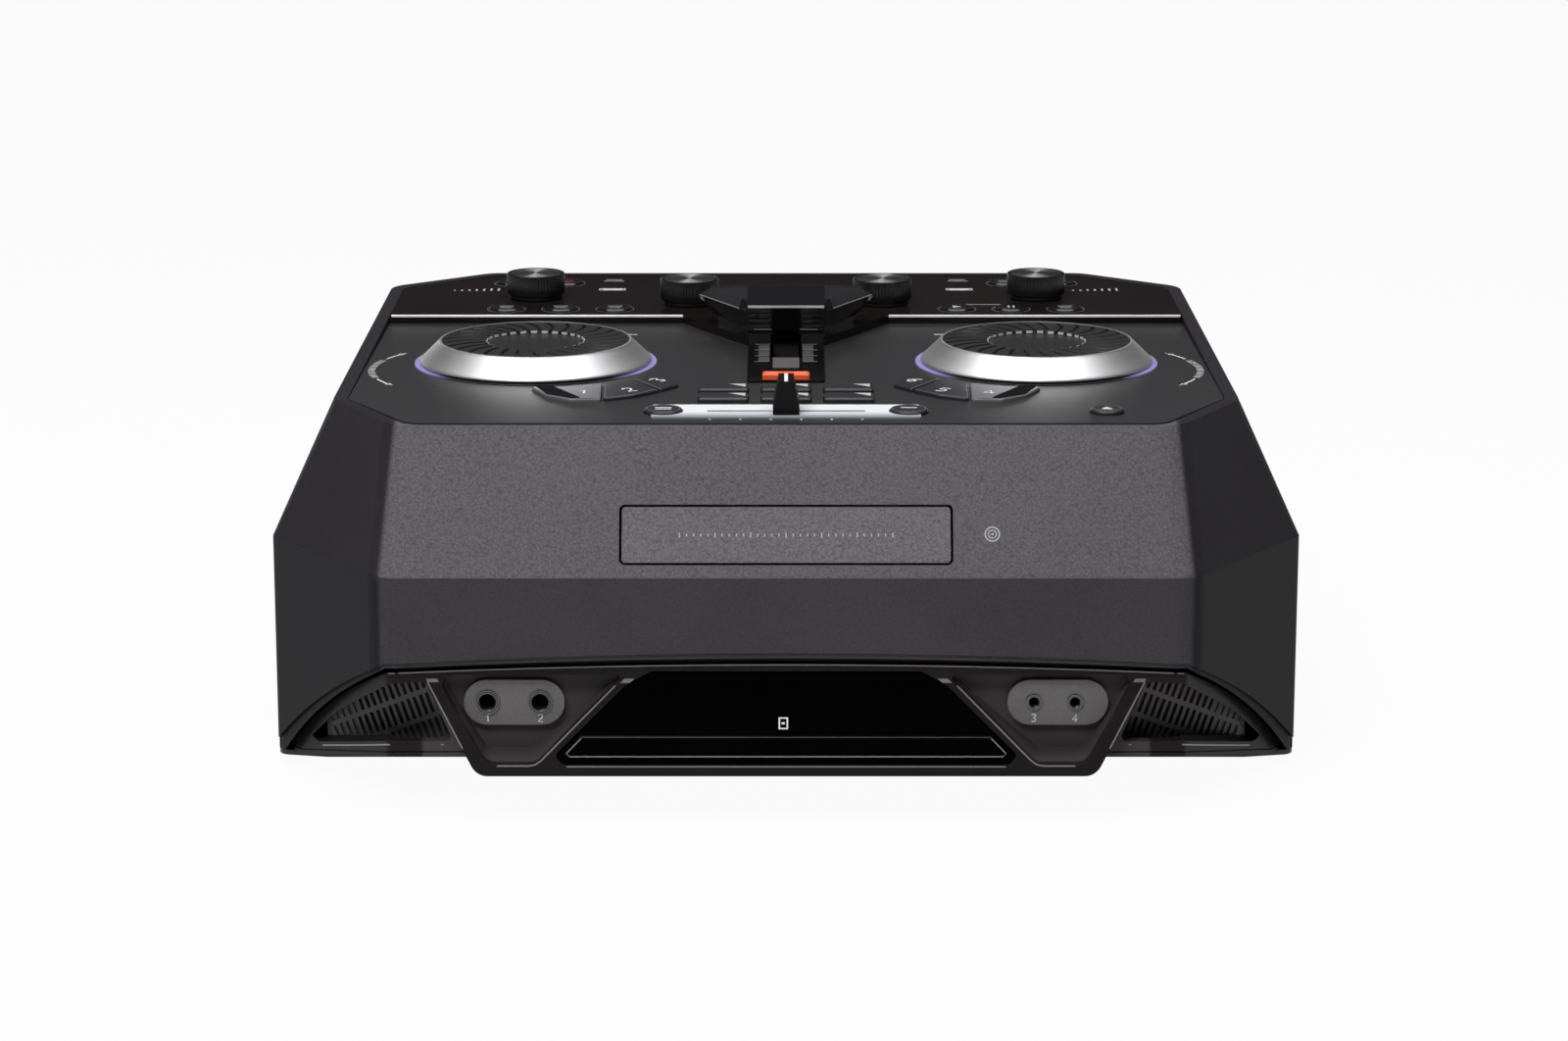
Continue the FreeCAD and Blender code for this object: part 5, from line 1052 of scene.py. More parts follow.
@dataclass
class JogWheel:
    """A jog wheel: a silver cone and a dark vaned top."""

    side: Side
    base: Spot = (52.5, 165.0)
    crown: Spot = (43.7, 174.6)
    foot: tuple[Spot, ...] = ((-2.0, 0.0), (-0.2, 0.0), (0.0, 0.2), (0.0, 0.7), (-0.12, 0.95))
    lip: tuple[Spot, ...] = ((0.1, -0.34), (-0.05, -0.1), (-0.3, 0.0))
    cone_lift: float = 0.8
    cone_drop: float = 0.2
    cone_steps: int = 9
    turn_steps: int = 192
    wall: float = 1.0
    shelf_drop: float = 3.6
    shelf_reach: float = 2.8
    hub_radii: tuple[float, ...] = (0.0, 8.0, 16.0, 22.15)
    vane_radii: Spot = (22.5, 42.1)
    rim_step: float = 0.2
    vane_count: int = 28
    vane_steps: int = 9
    vane_sweep: float = 10.0
    vane_fill: float = 0.92
    vane_taper: float = 0.86
    vane_height: float = 1.5
    vane_shares: tuple[float, ...] = (0.0, 0.08, 0.35, 0.65, 0.92, 1.0)
    gap_shares: tuple[float, ...] = (0.2, 0.5, 0.8)
    vane_crown: tuple[float, ...] = (0.0, 0.86, 0.95, 1.0, 0.95, 0.0, 0.0, 0.0, 0.0)
    floor_drop: float = 1.8
    skirt: tuple[Spot, ...] = ((-1.0, 1.8), (-1.0, 3.3), (-0.2, 3.3), (-0.2, 0.0), (2.2, 0.0), (2.2, -2.0))
    stem: tuple[Spot, ...] = ((12.0, 169.0), (5.0, 166.0), (5.0, 152.0), (0.0, 152.0))
    end_shares: tuple[float, ...] = (0.14, 0.38, 0.62, 0.86)
    end_in: tuple[float, ...] = (0.5, 0.1, 0.1, 0.5)
    end_lift: tuple[float, ...] = (0.25, 0.25, 1.3, 1.3)
    smooth_deg: float = 40.0

    @property
    def centre(self) -> Spot:
        """The wheel's axis in plan."""
        return self.side.place(JOG_SPOT)

    @property
    def pitch(self) -> float:
        """The angle from one vane to the next."""
        return FULL_TURN / self.vane_count

    @property
    def floor(self) -> float:
        """The height between the vanes."""
        return self.crown[1] - self.floor_drop

    @property
    def shelf(self) -> Spot:
        """The radius and height where the cone's wall meets its inner shelf."""
        return self.crown[0] - self.wall, self.crown[1] - self.shelf_drop

    def build(self) -> None:
        """Builds the cone and the top in place of the plain solids, and painted highlights on the vanes'
        ends.
        """
        word = self.side.word
        body = word + "_jog"
        metal = Turned("jog_silver_" + word, (0.74, 0.74, 0.75), self.centre, roughness=0.47)
        cone = self.cone().piece("jog_cone_" + word, metal, body)
        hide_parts("jog_rim_" + word)
        satin = Turned("jog_dark_" + word, (0.016, 0.0155, 0.0165), self.centre, roughness=0.36, metallic=0.0,
                       ring_mm=0.5, spread=0.2)
        top = self.top().piece("jog_vanes_" + word, satin, body, self.smooth_deg)
        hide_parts("jog_top_" + word)
        self.ends().piece("jog_vane_end_highlights_" + word, PAINTED_SILVER_HIGHLIGHT, body)

    def cone(self) -> Shape:
        """A closed section turned about the axis: foot, cone with eased edges, top land and inner shelf."""
        base, crown = np.array(self.base), np.array(self.crown)
        inner, shelf = self.shelf
        start, end = base + (0.0, self.cone_lift), crown - (0.0, self.cone_drop)
        slope = start + (end - start) * np.linspace(0.0, 1.0, self.cone_steps)[1:-1, None]
        inside = [(inner, crown[1]), (inner, shelf), (inner + self.shelf_reach, shelf)]
        section = np.concatenate([base + self.foot, slope, crown + self.lip, inside])
        return Shape().revolve(section, self.centre, self.turn_steps)

    def top(self) -> Shape:
        """The vaned top, a polar grid whose columns follow the swept vanes.

        With t from 0 at the vanes' inner ends to 1 at the rim, a column's angle is its start plus the sweep
        times t squared, and a vane's width grows with t. The height is the floor, plus the vane's height on
        the columns of a vane. The grid then goes over the rim, down and back to the axis below.
        Returns:
            The closed shape.
        """
        start, rim = self.vane_radii
        along = np.linspace(start, rim, self.vane_steps)
        radii = np.concatenate([self.hub_radii, along, [rim + self.rim_step]])
        t = np.clip((radii - start) / (rim - start), 0.0, 1.0)[:, None]
        width = self.pitch * self.vane_fill * (self.vane_taper + (1.0 - self.vane_taper) * t)
        column = np.concatenate([width * self.vane_shares, width + (self.pitch - width) * self.gap_shares], 1)
        first = np.arange(self.vane_count)[None, :, None] * self.pitch
        turn = (first + column[:, None, :]).reshape(len(radii), -1) + math.radians(self.vane_sweep) * t ** 2
        rises = ((radii >= start) & (radii <= rim))[:, None]
        height = self.floor + rises * np.tile(self.vane_crown, self.vane_count) * self.vane_height
        section = np.concatenate([np.array(self.shelf) + self.skirt, self.stem])
        radius = np.concatenate([radii, section[:, 0]])[:, None]
        height = np.concatenate([height, np.repeat(section[:, 1:], turn.shape[1], 1)])
        turn = np.concatenate([turn, np.repeat(turn[-1:], len(section), 0)])
        return Shape().add(np.stack([*polar(self.centre, radius, turn), height], -1))

    def ends(self) -> Shape:
        """A painted highlight on each vane's inner end: a thin upright patch of the circle through the ends.
        """
        width = self.pitch * self.vane_fill * self.vane_taper
        radius = self.vane_radii[0] - np.array(self.end_in)
        height = np.tile(self.floor + np.array(self.end_lift), (len(self.end_shares), 1))
        made = Shape()
        for start in np.arange(self.vane_count) * self.pitch:
            turn = (start + width * np.array(self.end_shares))[:, None]
            made.loft(np.stack([*polar(self.centre, radius, turn), height], -1))
        return made


@dataclass
class Knob:
    """A turned knob with a fluted grip and a spun face."""

    number: int
    place: Spot
    radius: float = 14.0
    base_z: float = 168.3
    height: float = 12.0
    collar: float = 2.0
    collar_in: float = 1.2
    stem_radius: float = 3.0
    stem_z: float = 153.6
    flutes: int = 56
    flute_steps: int = 6
    flute_depth: float = 0.35
    face_in: float = 1.5
    smooth_deg: float = 40.0

    def build(self) -> None:
        """Builds the knob in place of the plain solid, and its face."""
        number = str(self.number)
        body = "knob_" + number + "_body"
        finish = Turned("knob_black_" + number, (0.0085, 0.0085, 0.0095), self.place, roughness=0.24,
                        metallic=0.0, ring_mm=0.5, depth_mm=0.02, spread=0.3, specular=0.35)
        made = self.shape().piece("knob_grip_" + number, finish, body, self.smooth_deg)
        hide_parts("knob_" + number)
        spun = Turned("knob_face_spun_" + number, (0.30, 0.30, 0.305), self.place, roughness=0.46,
                      ring_mm=0.4, depth_mm=0.004, spread=0.25, anisotropic=0.9)
        self.face().piece("knob_face_" + number, spun, body)

    def shape(self) -> Shape:
        """A turned section whose grip stations lose a depth that follows a squared sine round the axis.

        Each station is a radius, a height and its share of the flutes' depth.
        Returns:
            The closed shape.
        """
        low, high = self.base_z, self.base_z + self.height
        r, c, s = self.radius, self.radius - self.collar_in, self.stem_radius
        step, dish = low + self.collar, high - 0.6
        stations = np.array([
            (0.0, self.stem_z, 0.0), (s, self.stem_z, 0.0), (s, low, 0.0), (c - 0.2, low, 0.0),
            (c, low + 0.2, 0.0), (c, step, 0.0), (r - 0.4, step, 0.6), (r, step + 0.4, 1.0),
            (r, step + 3.0, 1.0), (r, high - 0.5, 1.0), (r - 0.2, high - 0.1, 0.7), (r - 0.5, high, 0.0),
            (r - 1.1, high, 0.0),
            (r - 1.3, high - 0.5, 0.0), (6.0, dish, 0.0), (0.0, dish, 0.0)])
        turn = np.linspace(0.0, FULL_TURN, self.flutes * self.flute_steps, endpoint=False)
        ripple = np.sin(turn * self.flutes / 2.0) ** 2
        radius = stations[:, :1] - self.flute_depth * stations[:, 2:] * ripple
        height = np.repeat(stations[:, 1:2], len(turn), 1)
        return Shape().add(np.stack([*polar(self.place, radius, turn), height], -1))

    def face(self) -> Shape:
        """A low disc in the knob's dish, turned from a flat section with an eased rim."""
        top, reach = self.base_z + self.height, self.radius - self.face_in
        section = [(0.0, top - 0.7), (reach, top - 0.7), (reach, top - 0.2), (reach - 0.4, top - 0.05),
                   (0.0, top - 0.02)]
        return Shape().revolve(section, self.place)


@dataclass
class Deck:
    """The brushed deck with its keys, pads, fader and printing."""

    key_top: float = 165.6
    key_numbers: tuple[Place, ...] = ((25.0, -75.5, 0.0), (44.8, -71.0, 32.0), (56.8, -49.5, 52.0))
    key_edges: tuple[tuple[Spot, ...], ...] = (((20.8, -90.3), (27.0, -89.9), (32.6, -89.0)),
                                               ((35.0, -88.0), (47.2, -81.0), (57.0, -70.6)),
                                               ((46.4, -46.2), (52.4, -57.6), (58.5, -68.9)))
    key_number_height: float = 7.0
    scoop: tuple[Spot, ...] = ((2.6, -61.0), (9.8, -60.2), (24.6, -88.2), (20.6, -90.0), (9.2, -80.6))
    scoop_round: float = 1.4
    button_top: float = 165.8
    pad_pitch: float = 27.4
    pad_columns: int = 3
    pad_rows: Spot = (-80.5, -100.5)
    pad_half: Spot = (9.9, 5.9)
    pad_edges: Spot = (0.9, 0.5)
    pad_corner: tuple[Spot, ...] = ((2.4, 5.4), (9.6, -0.8), (9.6, 5.4))
    fader_y: float = -127.5
    fader_button_x: float = 52.8
    fader_rim: float = 7.3
    tray_button_x: float = 138.0
    tray_rim: float = 6.2
    rim_width: float = 0.4
    mark_rise: float = 1.2
    mark_drop: float = -1.8
    mark_size: Spot = (7.0, 1.2)
    tray_mark_rise: float = 2.2
    tray_arrow: Place = (2.8, 90.0, 0.8)
    tray_mark_size: Spot = (4.4, 0.9)
    stripe: Spot = (8.6, 1.5)
    tick_x: tuple[float, ...] = (6.5, 19.5, 32.5)
    tick_y: float = -142.4
    tick_radius: float = 0.6
    cap_top: float = 179.3
    red_top: float = 167.6
    red_bar: Spot = (6.4, -58.8)
    red_bar_size: Spot = (5.4, 0.9)
    arc: tuple[Spot, float] = ((125.6, -32.5), 61.2)
    arc_ends: Spot = (37.0, 22.0)
    arc_width: float = 0.8
    arrow: Spot = (4.2, 0.35)
    arc_ticks: tuple[float, int] = (18.0, 13)
    arc_tick: Spot = (1.6, 0.7)
    jog_bar: Spot = (73.3, 50.0)
    jog_bar_size: Spot = (7.0, 1.0)
    foot_line: tuple[Spot, Spot] = ((49.0, 76.9), (186.0, 76.9))
    bulge: tuple[Spot, Spot, Spot] = ((49.0, 76.9), (34.2, 48.0), (18.6, 21.4))
    edge: float = 0.5

    def build(self) -> None:
        """Dresses the deck's solids and adds the marks and painted edge highlights."""
        dress({"deck_panel": DECK, "light_rings": VIOLET, "fader_plate": SILVER_PLATE, "fader_cap": CAP,
               "red_button": RED, "tray_button": KEY})
        for side, numerals in zip(Side, ("123", "456")):
            self.keys(side, numerals)
        self.pads()
        self.round_buttons()
        self.fader_marks()
        self.print_deck()
        self.foot_lines()

    def beside(self, side: Side, offsets: Path) -> np.ndarray:
        """Spots (n, 2) given from the left wheel's centre, on either side."""
        return side.mirror(np.array(JOG_SPOT) + np.asarray(offsets, float) * (-1.0, 1.0))

    def keys(self, side: Side, numerals: str) -> None:
        """Dresses one wheel's keys, with a numeral and a painted edge highlight on each, and on the first a
        painted reflection and a scoop.
        """
        top = level(self.key_top)
        for index, (x, y, turn) in enumerate(self.key_numbers):
            key = "key_" + side.word + "_" + str(index + 1)
            body = key + "_body"
            # Painted reflection: the first key is lighter for the cone's reflection in it.
            dress({key: KEY if index else KEY_PAINTED_REFLECTION})
            spot = self.beside(side, [(x, y)])[0]
            mark = Print(top).numeral(numerals[index], spot, self.key_number_height, -side.value * turn)
            mark.piece(key + "_number", WHITE_INK, body)
            edge = Print(top).line(self.beside(side, self.key_edges[index]), self.edge)
            edge.piece(key + "_edge", PAINTED_GLINT, body)
            if not index:
                outline = rounded(self.beside(side, self.scoop), self.scoop_round)
                Print(top).patch(outline).piece(key + "_scoop", SCOOP, body)

    def pads(self) -> None:
        """Dresses the six pads, each with painted highlights: a bright line on the front edge, a faint line
        on the rear edge and a silver triangle in a corner.
        """
        half_x, half_y = self.pad_half
        front_width, rear_width = self.pad_edges
        top = level(self.button_top)
        for index in range(self.pad_columns * len(self.pad_rows)):
            pad = "pad_" + str(index + 1)
            body = pad + "_body"
            dress({pad: KEY})
            row, column = divmod(index, self.pad_columns)
            x, y = (column - self.pad_columns // 2) * self.pad_pitch, self.pad_rows[row]
            front = Print(top).bar((x, y - half_y), 2.0 * half_x, front_width)
            front.piece(pad + "_front_edge", PAINTED_GLINT, body)
            back = Print(top).bar((x, y + half_y), 2.0 * half_x, rear_width)
            back.piece(pad + "_rear_edge", PAINTED_DIM_HIGHLIGHT, body)
            # Painted highlight: a silver triangle in the pad's corner.
            corner = Print(top).patch(np.array(self.pad_corner) + (x, y))
            corner.piece(pad + "_corner", PAINTED_SILVER_HIGHLIGHT, body)

    def round_buttons(self) -> None:
        """Painted highlights round the round buttons' rims, with bars beside the fader and an arrow over a
        bar for the tray.
        """
        top, y = level(self.button_top), self.fader_y
        for side in Side:
            button = "fader_button_" + side.word
            x = side.value * self.fader_button_x
            dress({button: KEY})
            rim = Print(top).ring((x, y), self.fader_rim, self.rim_width)
            rim.piece(button + "_rim", PAINTED_GLINT, button + "_body")
            mark = Print(top).bar((x, y + self.mark_rise), *self.mark_size)
            if side is Side.LEFT:
                mark.bar((x, y + self.mark_drop), *self.mark_size)
            mark.piece(button + "_mark", WHITE_INK, button + "_body")
        x = self.tray_button_x
        rim = Print(top).ring((x, y), self.tray_rim, self.rim_width)
        rim.piece("tray_button_rim", PAINTED_GLINT, "tray_button_body")
        mark = Print(top).head((x, y + self.tray_mark_rise), *self.tray_arrow)
        mark.bar((x, y + self.mark_drop), *self.tray_mark_size)
        mark.piece("tray_button_mark", WHITE_INK, "tray_button_body")

    def fader_marks(self) -> None:
        """The fader cap's white stripe and the pale bars on the red button."""
        reach, width = self.stripe
        stripe = Print(level(self.cap_top)).post(0.0, about(self.fader_y, reach), width)
        stripe.piece("fader_stripe", WHITE_INK, "fader")
        bars = Print(level(self.red_top))
        for side in Side:
            bars.bar(side.place(self.red_bar), *self.red_bar_size)
        bars.piece("red_button_bars", PALE_INK, "red_button_body")

    def print_deck(self) -> None:
        """Arrows and ticks on an arc outside each wheel, a bar behind it, and dots before the fader."""
        ink = Print(DECK_TOP)
        centre, radius = self.arc
        far, near = self.arc_ends
        length, spread = self.arrow
        reach, width = self.arc_tick
        spread_deg, count = self.arc_ticks
        for side in Side:
            for sign in (1.0, -1.0):
                shaft = side.mirror(arc_path(centre, radius, sign * far, sign * near, 12))
                heading = sign * (far + 90.0)
                ink.line(shaft, self.arc_width)
                ink.head(shaft[0], length, heading if side is Side.RIGHT else 180.0 - heading, spread)
            for turn in np.radians(np.linspace(-spread_deg, spread_deg, count)):
                tick = np.stack(polar(centre, radius + np.array([-reach, reach]), turn), 1)
                ink.line(side.mirror(tick), width)
            ink.bar(side.place(self.jog_bar), *self.jog_bar_size)
            for x in self.tick_x:
                ink.dot((side.value * x, self.tick_y), self.tick_radius)
        ink.piece("deck_printing", WHITE_INK, CABINET)

    def foot_lines(self) -> None:
        """A thin painted highlight on the deck along the raised panel's foot, and a faint one round its
        bulge.

        The bulge's line is the parabola through its three points, at t = 0, 0.5 and 1.
        """
        t = np.linspace(0.0, 1.0, 16)[:, None]
        a, b, c = np.array(self.bulge)
        curve = a * (1 - t) * (1 - 2 * t) + b * 4 * t * (1 - t) + c * t * (2 * t - 1)
        lines = Print(DECK_TOP)
        for side in Side:
            for path in (self.foot_line, curve):
                lines.line(side.mirror(path), self.edge)
        lines.piece("panel_foot_lines", PAINTED_DIM_HIGHLIGHT, CABINET)


@dataclass
class RearControls:
    """The raised gloss panel with its knobs, buttons, sockets and chrome strips."""

    knobs: tuple[Spot, Spot] = ((121.5, 125.0), (46.5, 110.0))
    buttons: tuple[Spot, ...] = ((82.0, 94.0), (108.0, 94.0), (134.0, 94.0), (108.4, 163.5), (135.0, 163.5))
    button_top: float = 169.2
    rim: Spot = (9.1, 0.35)
    arrow_button: int = 6
    tick_button: int = 7
    red_button: int = 4
    arrow_reach: float = 2.4
    arrow: Place = (4.4, 0.0, 0.7)
    tick_shift: float = 1.2
    tick_half: float = 2.6
    tick_width: float = 1.0
    bar_shift: float = 1.5
    bar_lengths: Spot = (7.0, 5.4)
    bar_width: float = 0.7
    usb: Spot = (85.2, 147.0)
    usb_half: Spot = (6.2, 2.4)
    usb_line: float = 0.8
    usb_low: float = -0.3
    tongue_levels: Spot = (-0.6, -0.05)
    tongue_shift: float = 0.6
    tongue: Spot = (9.8, 1.4)
    usb_bars: tuple[Spot, Spot] = ((27.0, 8.0), (23.0, 10.0))
    usb_bar_width: float = 1.0
    scale_x: Spot = (141.0, 162.5)
    scale_y: float = 143.0
    scale_ticks: int = 7
    scale_low: float = 2.0
    scale_gain: float = 5.0
    bracket: tuple[Spot, Spot] = ((81.0, 106.0), (111.0, 106.0))
    bracket_width: float = 0.8

    def build(self) -> None:
        """Dresses the panel's solids, builds the knobs and adds the marks."""
        dress({"control_panel": PANEL, "trim_strips": CHROME})
        # Painted highlights round the buttons' rims.
        rims = Print(PANEL_TOP)
        places = [side.place(spot) for side in Side for spot in self.buttons]
        for number, place in enumerate(places, 1):
            rims.ring(place, *self.rim)
            dress({"panel_button_" + str(number): PANEL_KEY})
            self.mark(number, place)
        rims.piece("panel_button_rims", PAINTED_GLINT, CABINET)
        places = [side.place(spot) for side in Side for spot in self.knobs]
        for number, place in enumerate(places, 1):
            Knob(number, place).build()
        self.usb_fronts()
        self.scales()

    def mark(self, number: int, place: Spot) -> None:
        """One button's mark: an arrow, two ticks, or two bars, which are red on one button."""
        x, y = place
        ink = Print(level(self.button_top))
        if number == self.arrow_button:
            ink.head((x + self.arrow_reach, y), *self.arrow)
        elif number == self.tick_button:
            for place_x in about(x, self.tick_shift):
                ink.post(place_x, about(y, self.tick_half), self.tick_width)
        else:
            for shift, length in zip((self.bar_shift, -self.bar_shift), self.bar_lengths):
                ink.bar((x, y + shift), length, self.bar_width)
        finish = RED_INK if number == self.red_button else SOFT_INK
        ink.piece("panel_button_mark_" + str(number), finish, "panel_button_" + str(number) + "_body")

    def usb_fronts(self) -> None:
        """A plated frame round each flat socket with its pale tongue, and two short bars behind it."""
        frames, labels = Print(PANEL_TOP, self.usb_low), Print(PANEL_TOP)
        tongues = Print(PANEL_TOP, *self.tongue_levels)
        for side in Side:
            x, y = side.place(self.usb)
            outline = box(about(x, self.usb_half[0]), about(y, self.usb_half[1]))
            frames.line(rounded(outline, self.usb_line), self.usb_line, True)
            tongues.bar((x, y + self.tongue_shift), *self.tongue)
            for shift, length in self.usb_bars:
                labels.bar((x, y + shift), length, self.usb_bar_width)
        frames.piece("usb_frames", CHROME, CABINET)
        tongues.piece("usb_tongues", WHITE_INK, CABINET)
        labels.piece("usb_labels", SOFT_INK, CABINET)

    def scales(self) -> None:
        """A rising row of ticks beside each outer knob, and a bracket over two of the right buttons."""
        ink = Print(PANEL_TOP)
        for side in Side:
            start, end = sorted(side.value * x for x in self.scale_x)
            for t in np.linspace(0.0, 1.0, self.scale_ticks):
                top = self.scale_y + self.scale_low + self.scale_gain * t
                ink.post(start + (end - start) * t, (self.scale_y, top), self.tick_width)
        ink.line(self.bracket, self.bracket_width).piece("panel_scales", SOFT_INK, CABINET)


@dataclass
class Lever:
    """The lever with its chrome edge, painted edge highlights and grey wing plates, and the gate with its
    ladders.
    """

    front_low: Spot = (17.0, 172.0)
    front_high: Spot = (13.0, 184.5)
    edge_drop: float = 0.55
    edge_size: Spot = (35.2, 1.0)
    edge_levels: Spot = (-0.3, 0.18)
    foot_spot: Spot = (10.6, 0.8)
    foot_size: Spot = (8.2, 0.45)
    foot_levels: Spot = (-0.3, 0.08)
    wing_brow: tuple[Place, Place] = ((20.5, 19.5, 181.58), (42.0, 60.0, 181.58))
    wing_crest: tuple[Place, Place] = ((19.5, 28.0, 184.58), (36.0, 61.5, 184.58))
    wing_inner: tuple[Place, Place] = ((18.1, 28.0, 184.58), (18.1, 64.0, 184.58))
    wing_span: Spot = (0.06, 0.94)
    wing_steps: int = 8
    wing_skin: float = 0.3
    brow_share: float = 0.07
    brow_lift: float = 0.05
    ladder_x: Spot = (7.5, 12.5)
    ladder_y: Spot = (-27.9, 13.9)
    ladder_top: float = 166.0
    lens_half: float = 6.0
    lens_y: Spot = (-37.3, -13.7)
    lens_top: float = 165.5
    lens_round: float = 0.8
    rung_reach: float = 14.3
    rung_top: float = 166.4
    rung_start: float = -27.5
    rung_pitch: float = 13.667
    rung_count: int = 4
    rung_width: float = 0.9

    def build(self) -> None:
        """Dresses the lever's solids and adds the trim."""
        dress({"lever_gate": GATE, "lever_arm": INNER, "lever_handle": LEVER})
        self.block_lines()
        self.wings()
        self.gate()

    def block_lines(self) -> None:
        """A chrome line along the block's upper front edge and two thin painted highlights along its foot."""
        low, high = np.array([0.0, *self.front_low]), np.array([0.0, *self.front_high])
        length = float(np.linalg.norm(high - low))
        front = Plane(tuple(low), across=tuple((high - low) / length))
        edge = Print(front, *self.edge_levels).bar((0.0, length - self.edge_drop), *self.edge_size)
        edge.piece("lever_chrome_edge", CHROME, LEVER_BODY)
        foot = Print(front, *self.foot_levels)
        for side in Side:
            foot.bar(side.place(self.foot_spot), *self.foot_size)
        foot.piece("lever_foot_lines", PAINTED_GLINT, LEVER_BODY)

    def wings(self) -> None:
        """Grey plates on the wings, skins over the brow, crest and inner lines, and a painted highlight on
        the brow edge.
        """
        plates, edges = Shape(), Shape()
        ends = np.array([self.wing_brow, self.wing_crest, self.wing_inner])
        share = np.linspace(*self.wing_span, self.wing_steps)[None, :, None]
        right = ends[:, :1] + (ends[:, 1:] - ends[:, :1]) * share
        for side in Side:
            grid = right * (side.value, 1.0, 1.0)
            plates.skin(grid, self.wing_skin)
            steps = np.array([0.0, self.brow_share])[:, None, None]
            brow = grid[:1] + (grid[1:2] - grid[:1]) * steps + (0.0, 0.0, self.brow_lift)
            edges.skin(brow, self.wing_skin)
        plates.piece("lever_wing_plates", WING_GREY, LEVER_BODY)
        edges.piece("lever_wing_edges", PAINTED_GLINT, LEVER_BODY)

    def gate(self) -> None:
        """Grey tops on the gate's ladders, pale rungs across them and the lens between."""
        tops, rungs = Print(level(self.ladder_top)), Print(level(self.rung_top))
        for side in Side:
            tops.patch(side.mirror(box(self.ladder_x, self.ladder_y)))
            for index in range(self.rung_count):
                y = self.rung_start + index * self.rung_pitch
                rungs.line(side.mirror([(self.ladder_x[0], y), (self.rung_reach, y)]), self.rung_width)
        tops.piece("gate_ladders", LADDER_GREY, CABINET)
        rungs.piece("gate_rungs", PAINTED_GLINT, CABINET)
        outline = rounded(box(about(0.0, self.lens_half), self.lens_y), self.lens_round)
        Print(level(self.lens_top)).patch(outline).piece("gate_lens", LENS_GREY, CABINET)


@dataclass(frozen=True)
class Lamp:
    """A rectangular soft lamp: where it stands, what it faces, its width and height, and its power."""

    name: str
    at: Place
    to: Place
    size: Spot
    watts: float

    def build(self) -> None:
        """Makes the lamp and turns it to what it faces."""
        data = bpy.data.lights.new(self.name, "AREA")
        data.shape = "RECTANGLE"
        data.size, data.size_y = self.size
        data.energy = self.watts
        made = bpy.data.objects.new(self.name, data)
        made.location = self.at
        x, y, z = np.array(self.at) - np.array(self.to)
        flat = math.hypot(x, y)
        made.rotation_euler = (math.atan2(flat, z), 0.0, math.atan2(x, -y) if flat > 0 else 0.0)
        bpy.context.scene.collection.objects.link(made)


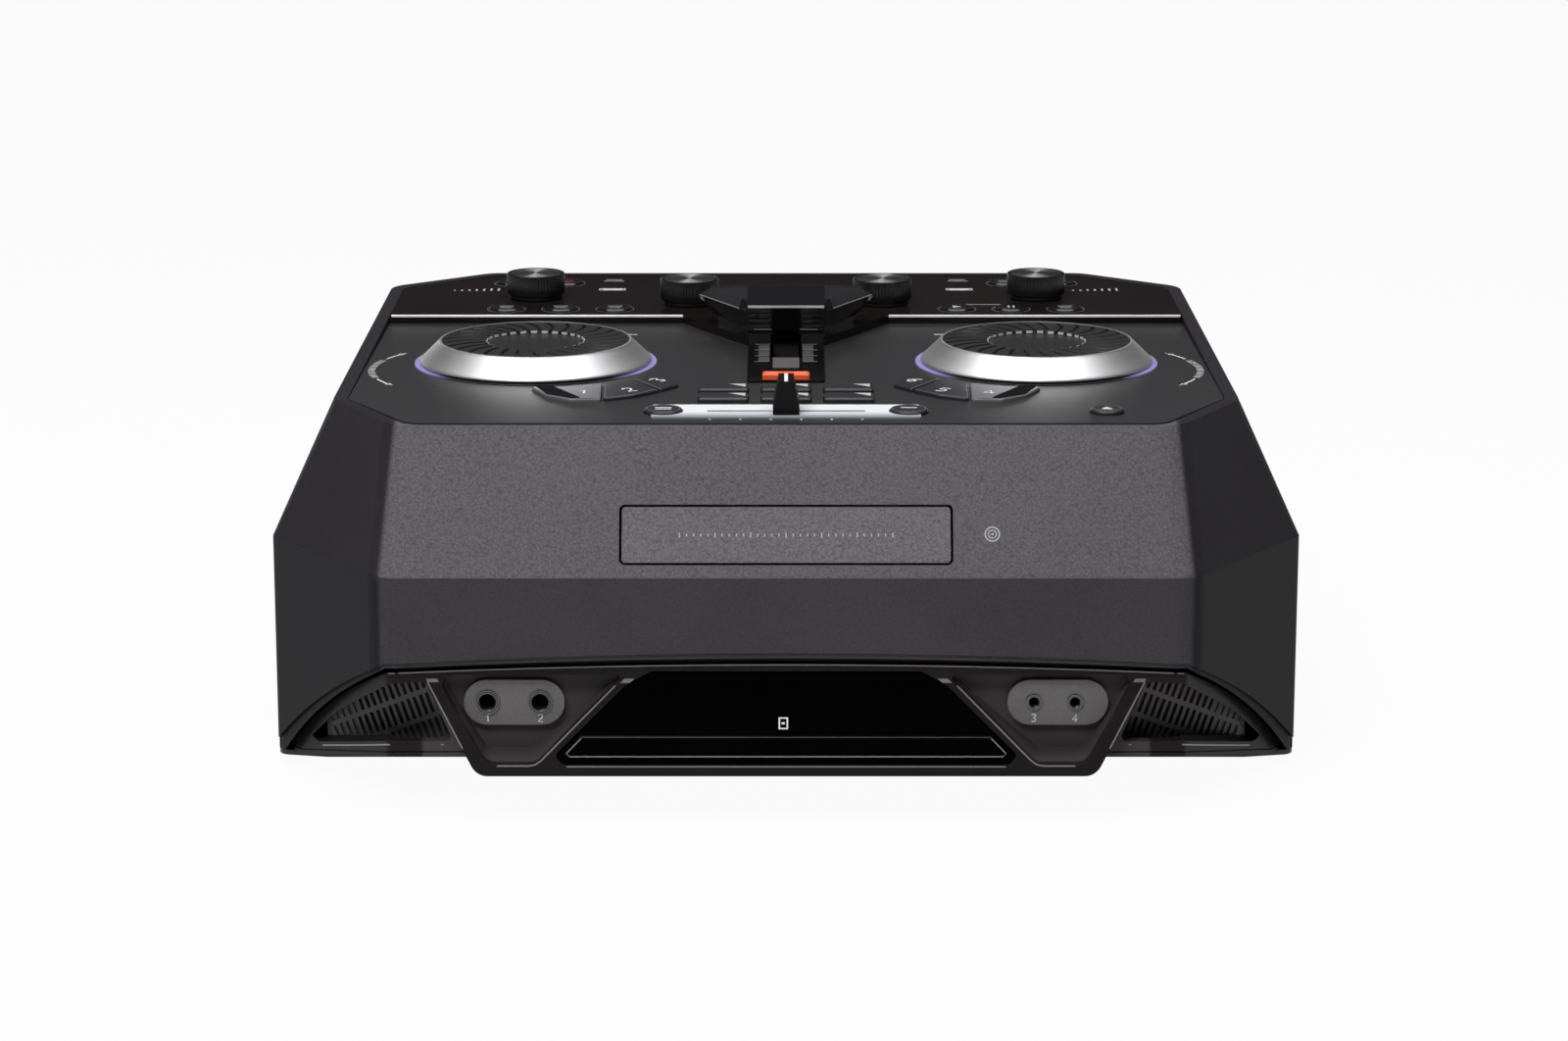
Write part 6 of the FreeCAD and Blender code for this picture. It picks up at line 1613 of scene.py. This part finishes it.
@dataclass
class Studio:
    """Floor, lamps, world and camera."""

    lamps: tuple[Lamp, ...] = (
        Lamp("top_softbox", (0.0, -0.15, 1.7), (0.0, -0.1, 0.1), (2.0, 1.0), 24.0),
        Lamp("front_softbox", (-0.7, -1.7, 2.0), (0.0, 0.0, 0.1), (1.4, 0.7), 39.0),
        Lamp("left_fill", (-1.3, 2.0, 0.25), (-0.1, 0.0, 0.16), (0.8, 0.4), 2.0),
        Lamp("rear_strip", (0.0, 2.1, 1.35), (0.0, 0.0, 0.15), (1.4, 0.3), 1.0))
    lens_mm: float = 99.4
    sensor_mm: float = 36.0
    camera_at: Place = (-0.0009, -1.950, 0.547)
    camera_tilt_deg: float = 76.7
    sky: Colour = (0.032, 0.031, 0.033)
    horizon: Spot = (0.01, 0.06)
    floor_half: float = 30.0
    floor_share: float = 0.95
    floor_grey: float = 0.7

    def build(self) -> None:
        """Sets the stage."""
        scene = bpy.context.scene
        scene.view_settings.view_transform = "Standard"
        self.camera(scene)
        self.world(scene)
        self.floor(scene)
        for lamp in self.lamps:
            lamp.build()

    def camera(self, scene: bpy.types.Scene) -> None:
        """A camera at the photograph's angle."""
        data = bpy.data.cameras.new("camera")
        data.lens = self.lens_mm
        data.sensor_width = self.sensor_mm
        made = bpy.data.objects.new("camera", data)
        made.location = self.camera_at
        made.rotation_euler = (math.radians(self.camera_tilt_deg), 0.0, 0.0)
        scene.collection.objects.link(made)
        scene.camera = made

    def world(self, scene: bpy.types.Scene) -> None:
        """White at the horizon and below, dim above."""
        world = bpy.data.worlds.new("studio")
        world.use_nodes = True
        scene.world = world
        graph = Graph(world.node_tree)
        height = graph.split(graph.point("Generated"))[2]
        colour = graph.mix(height.rise(*self.horizon), WHITE, self.sky)
        light = graph.node("ShaderNodeBackground", {}, {"Color": colour, "Strength": 1.0})
        graph.output(light, "ShaderNodeOutputWorld")

    def floor(self, scene: bpy.types.Scene) -> None:
        """A wide pale floor that looks white and keeps a soft shadow."""
        mesh = bpy.data.meshes.new("floor")
        corners = box(about(0.0, self.floor_half), about(0.0, self.floor_half))
        mesh.from_pydata([(x, y, 0.0) for x, y in corners], [], [(0, 1, 2, 3)])
        made = bpy.data.objects.new("floor", mesh)
        scene.collection.objects.link(made)
        material = bpy.data.materials.new("floor_white")
        material.use_nodes = True
        graph = Graph(material.node_tree)
        seen = graph.node("ShaderNodeLightPath", {}, {}, "Is Camera Ray")
        outs = seen.socket.node.outputs
        share = (seen + Sock(graph, outs["Is Glossy Ray"]) + Sock(graph, outs["Is Transmission Ray"])).clamp()
        grey = self.floor_grey
        matt = graph.node("ShaderNodeBsdfDiffuse", {}, {"Color": (grey, grey, grey, 1.0)})
        white = graph.node("ShaderNodeEmission", {}, {"Color": (*WHITE, 1.0), "Strength": 1.0})
        graph.output(graph.node("ShaderNodeMixShader", {}, {0: share * self.floor_share, 1: matt, 2: white}))
        mesh.materials.append(material)


def main() -> None:
    """Builds the console's looks and the studio."""
    logging.basicConfig(level=logging.INFO, format="%(message)s")
    Studio().build()
    Cabinet().build()
    LowerFront().build()
    Deck().build()
    for side in Side:
        JogWheel(side).build()
    RearControls().build()
    Lever().build()


if __name__ == "__main__":
    main()
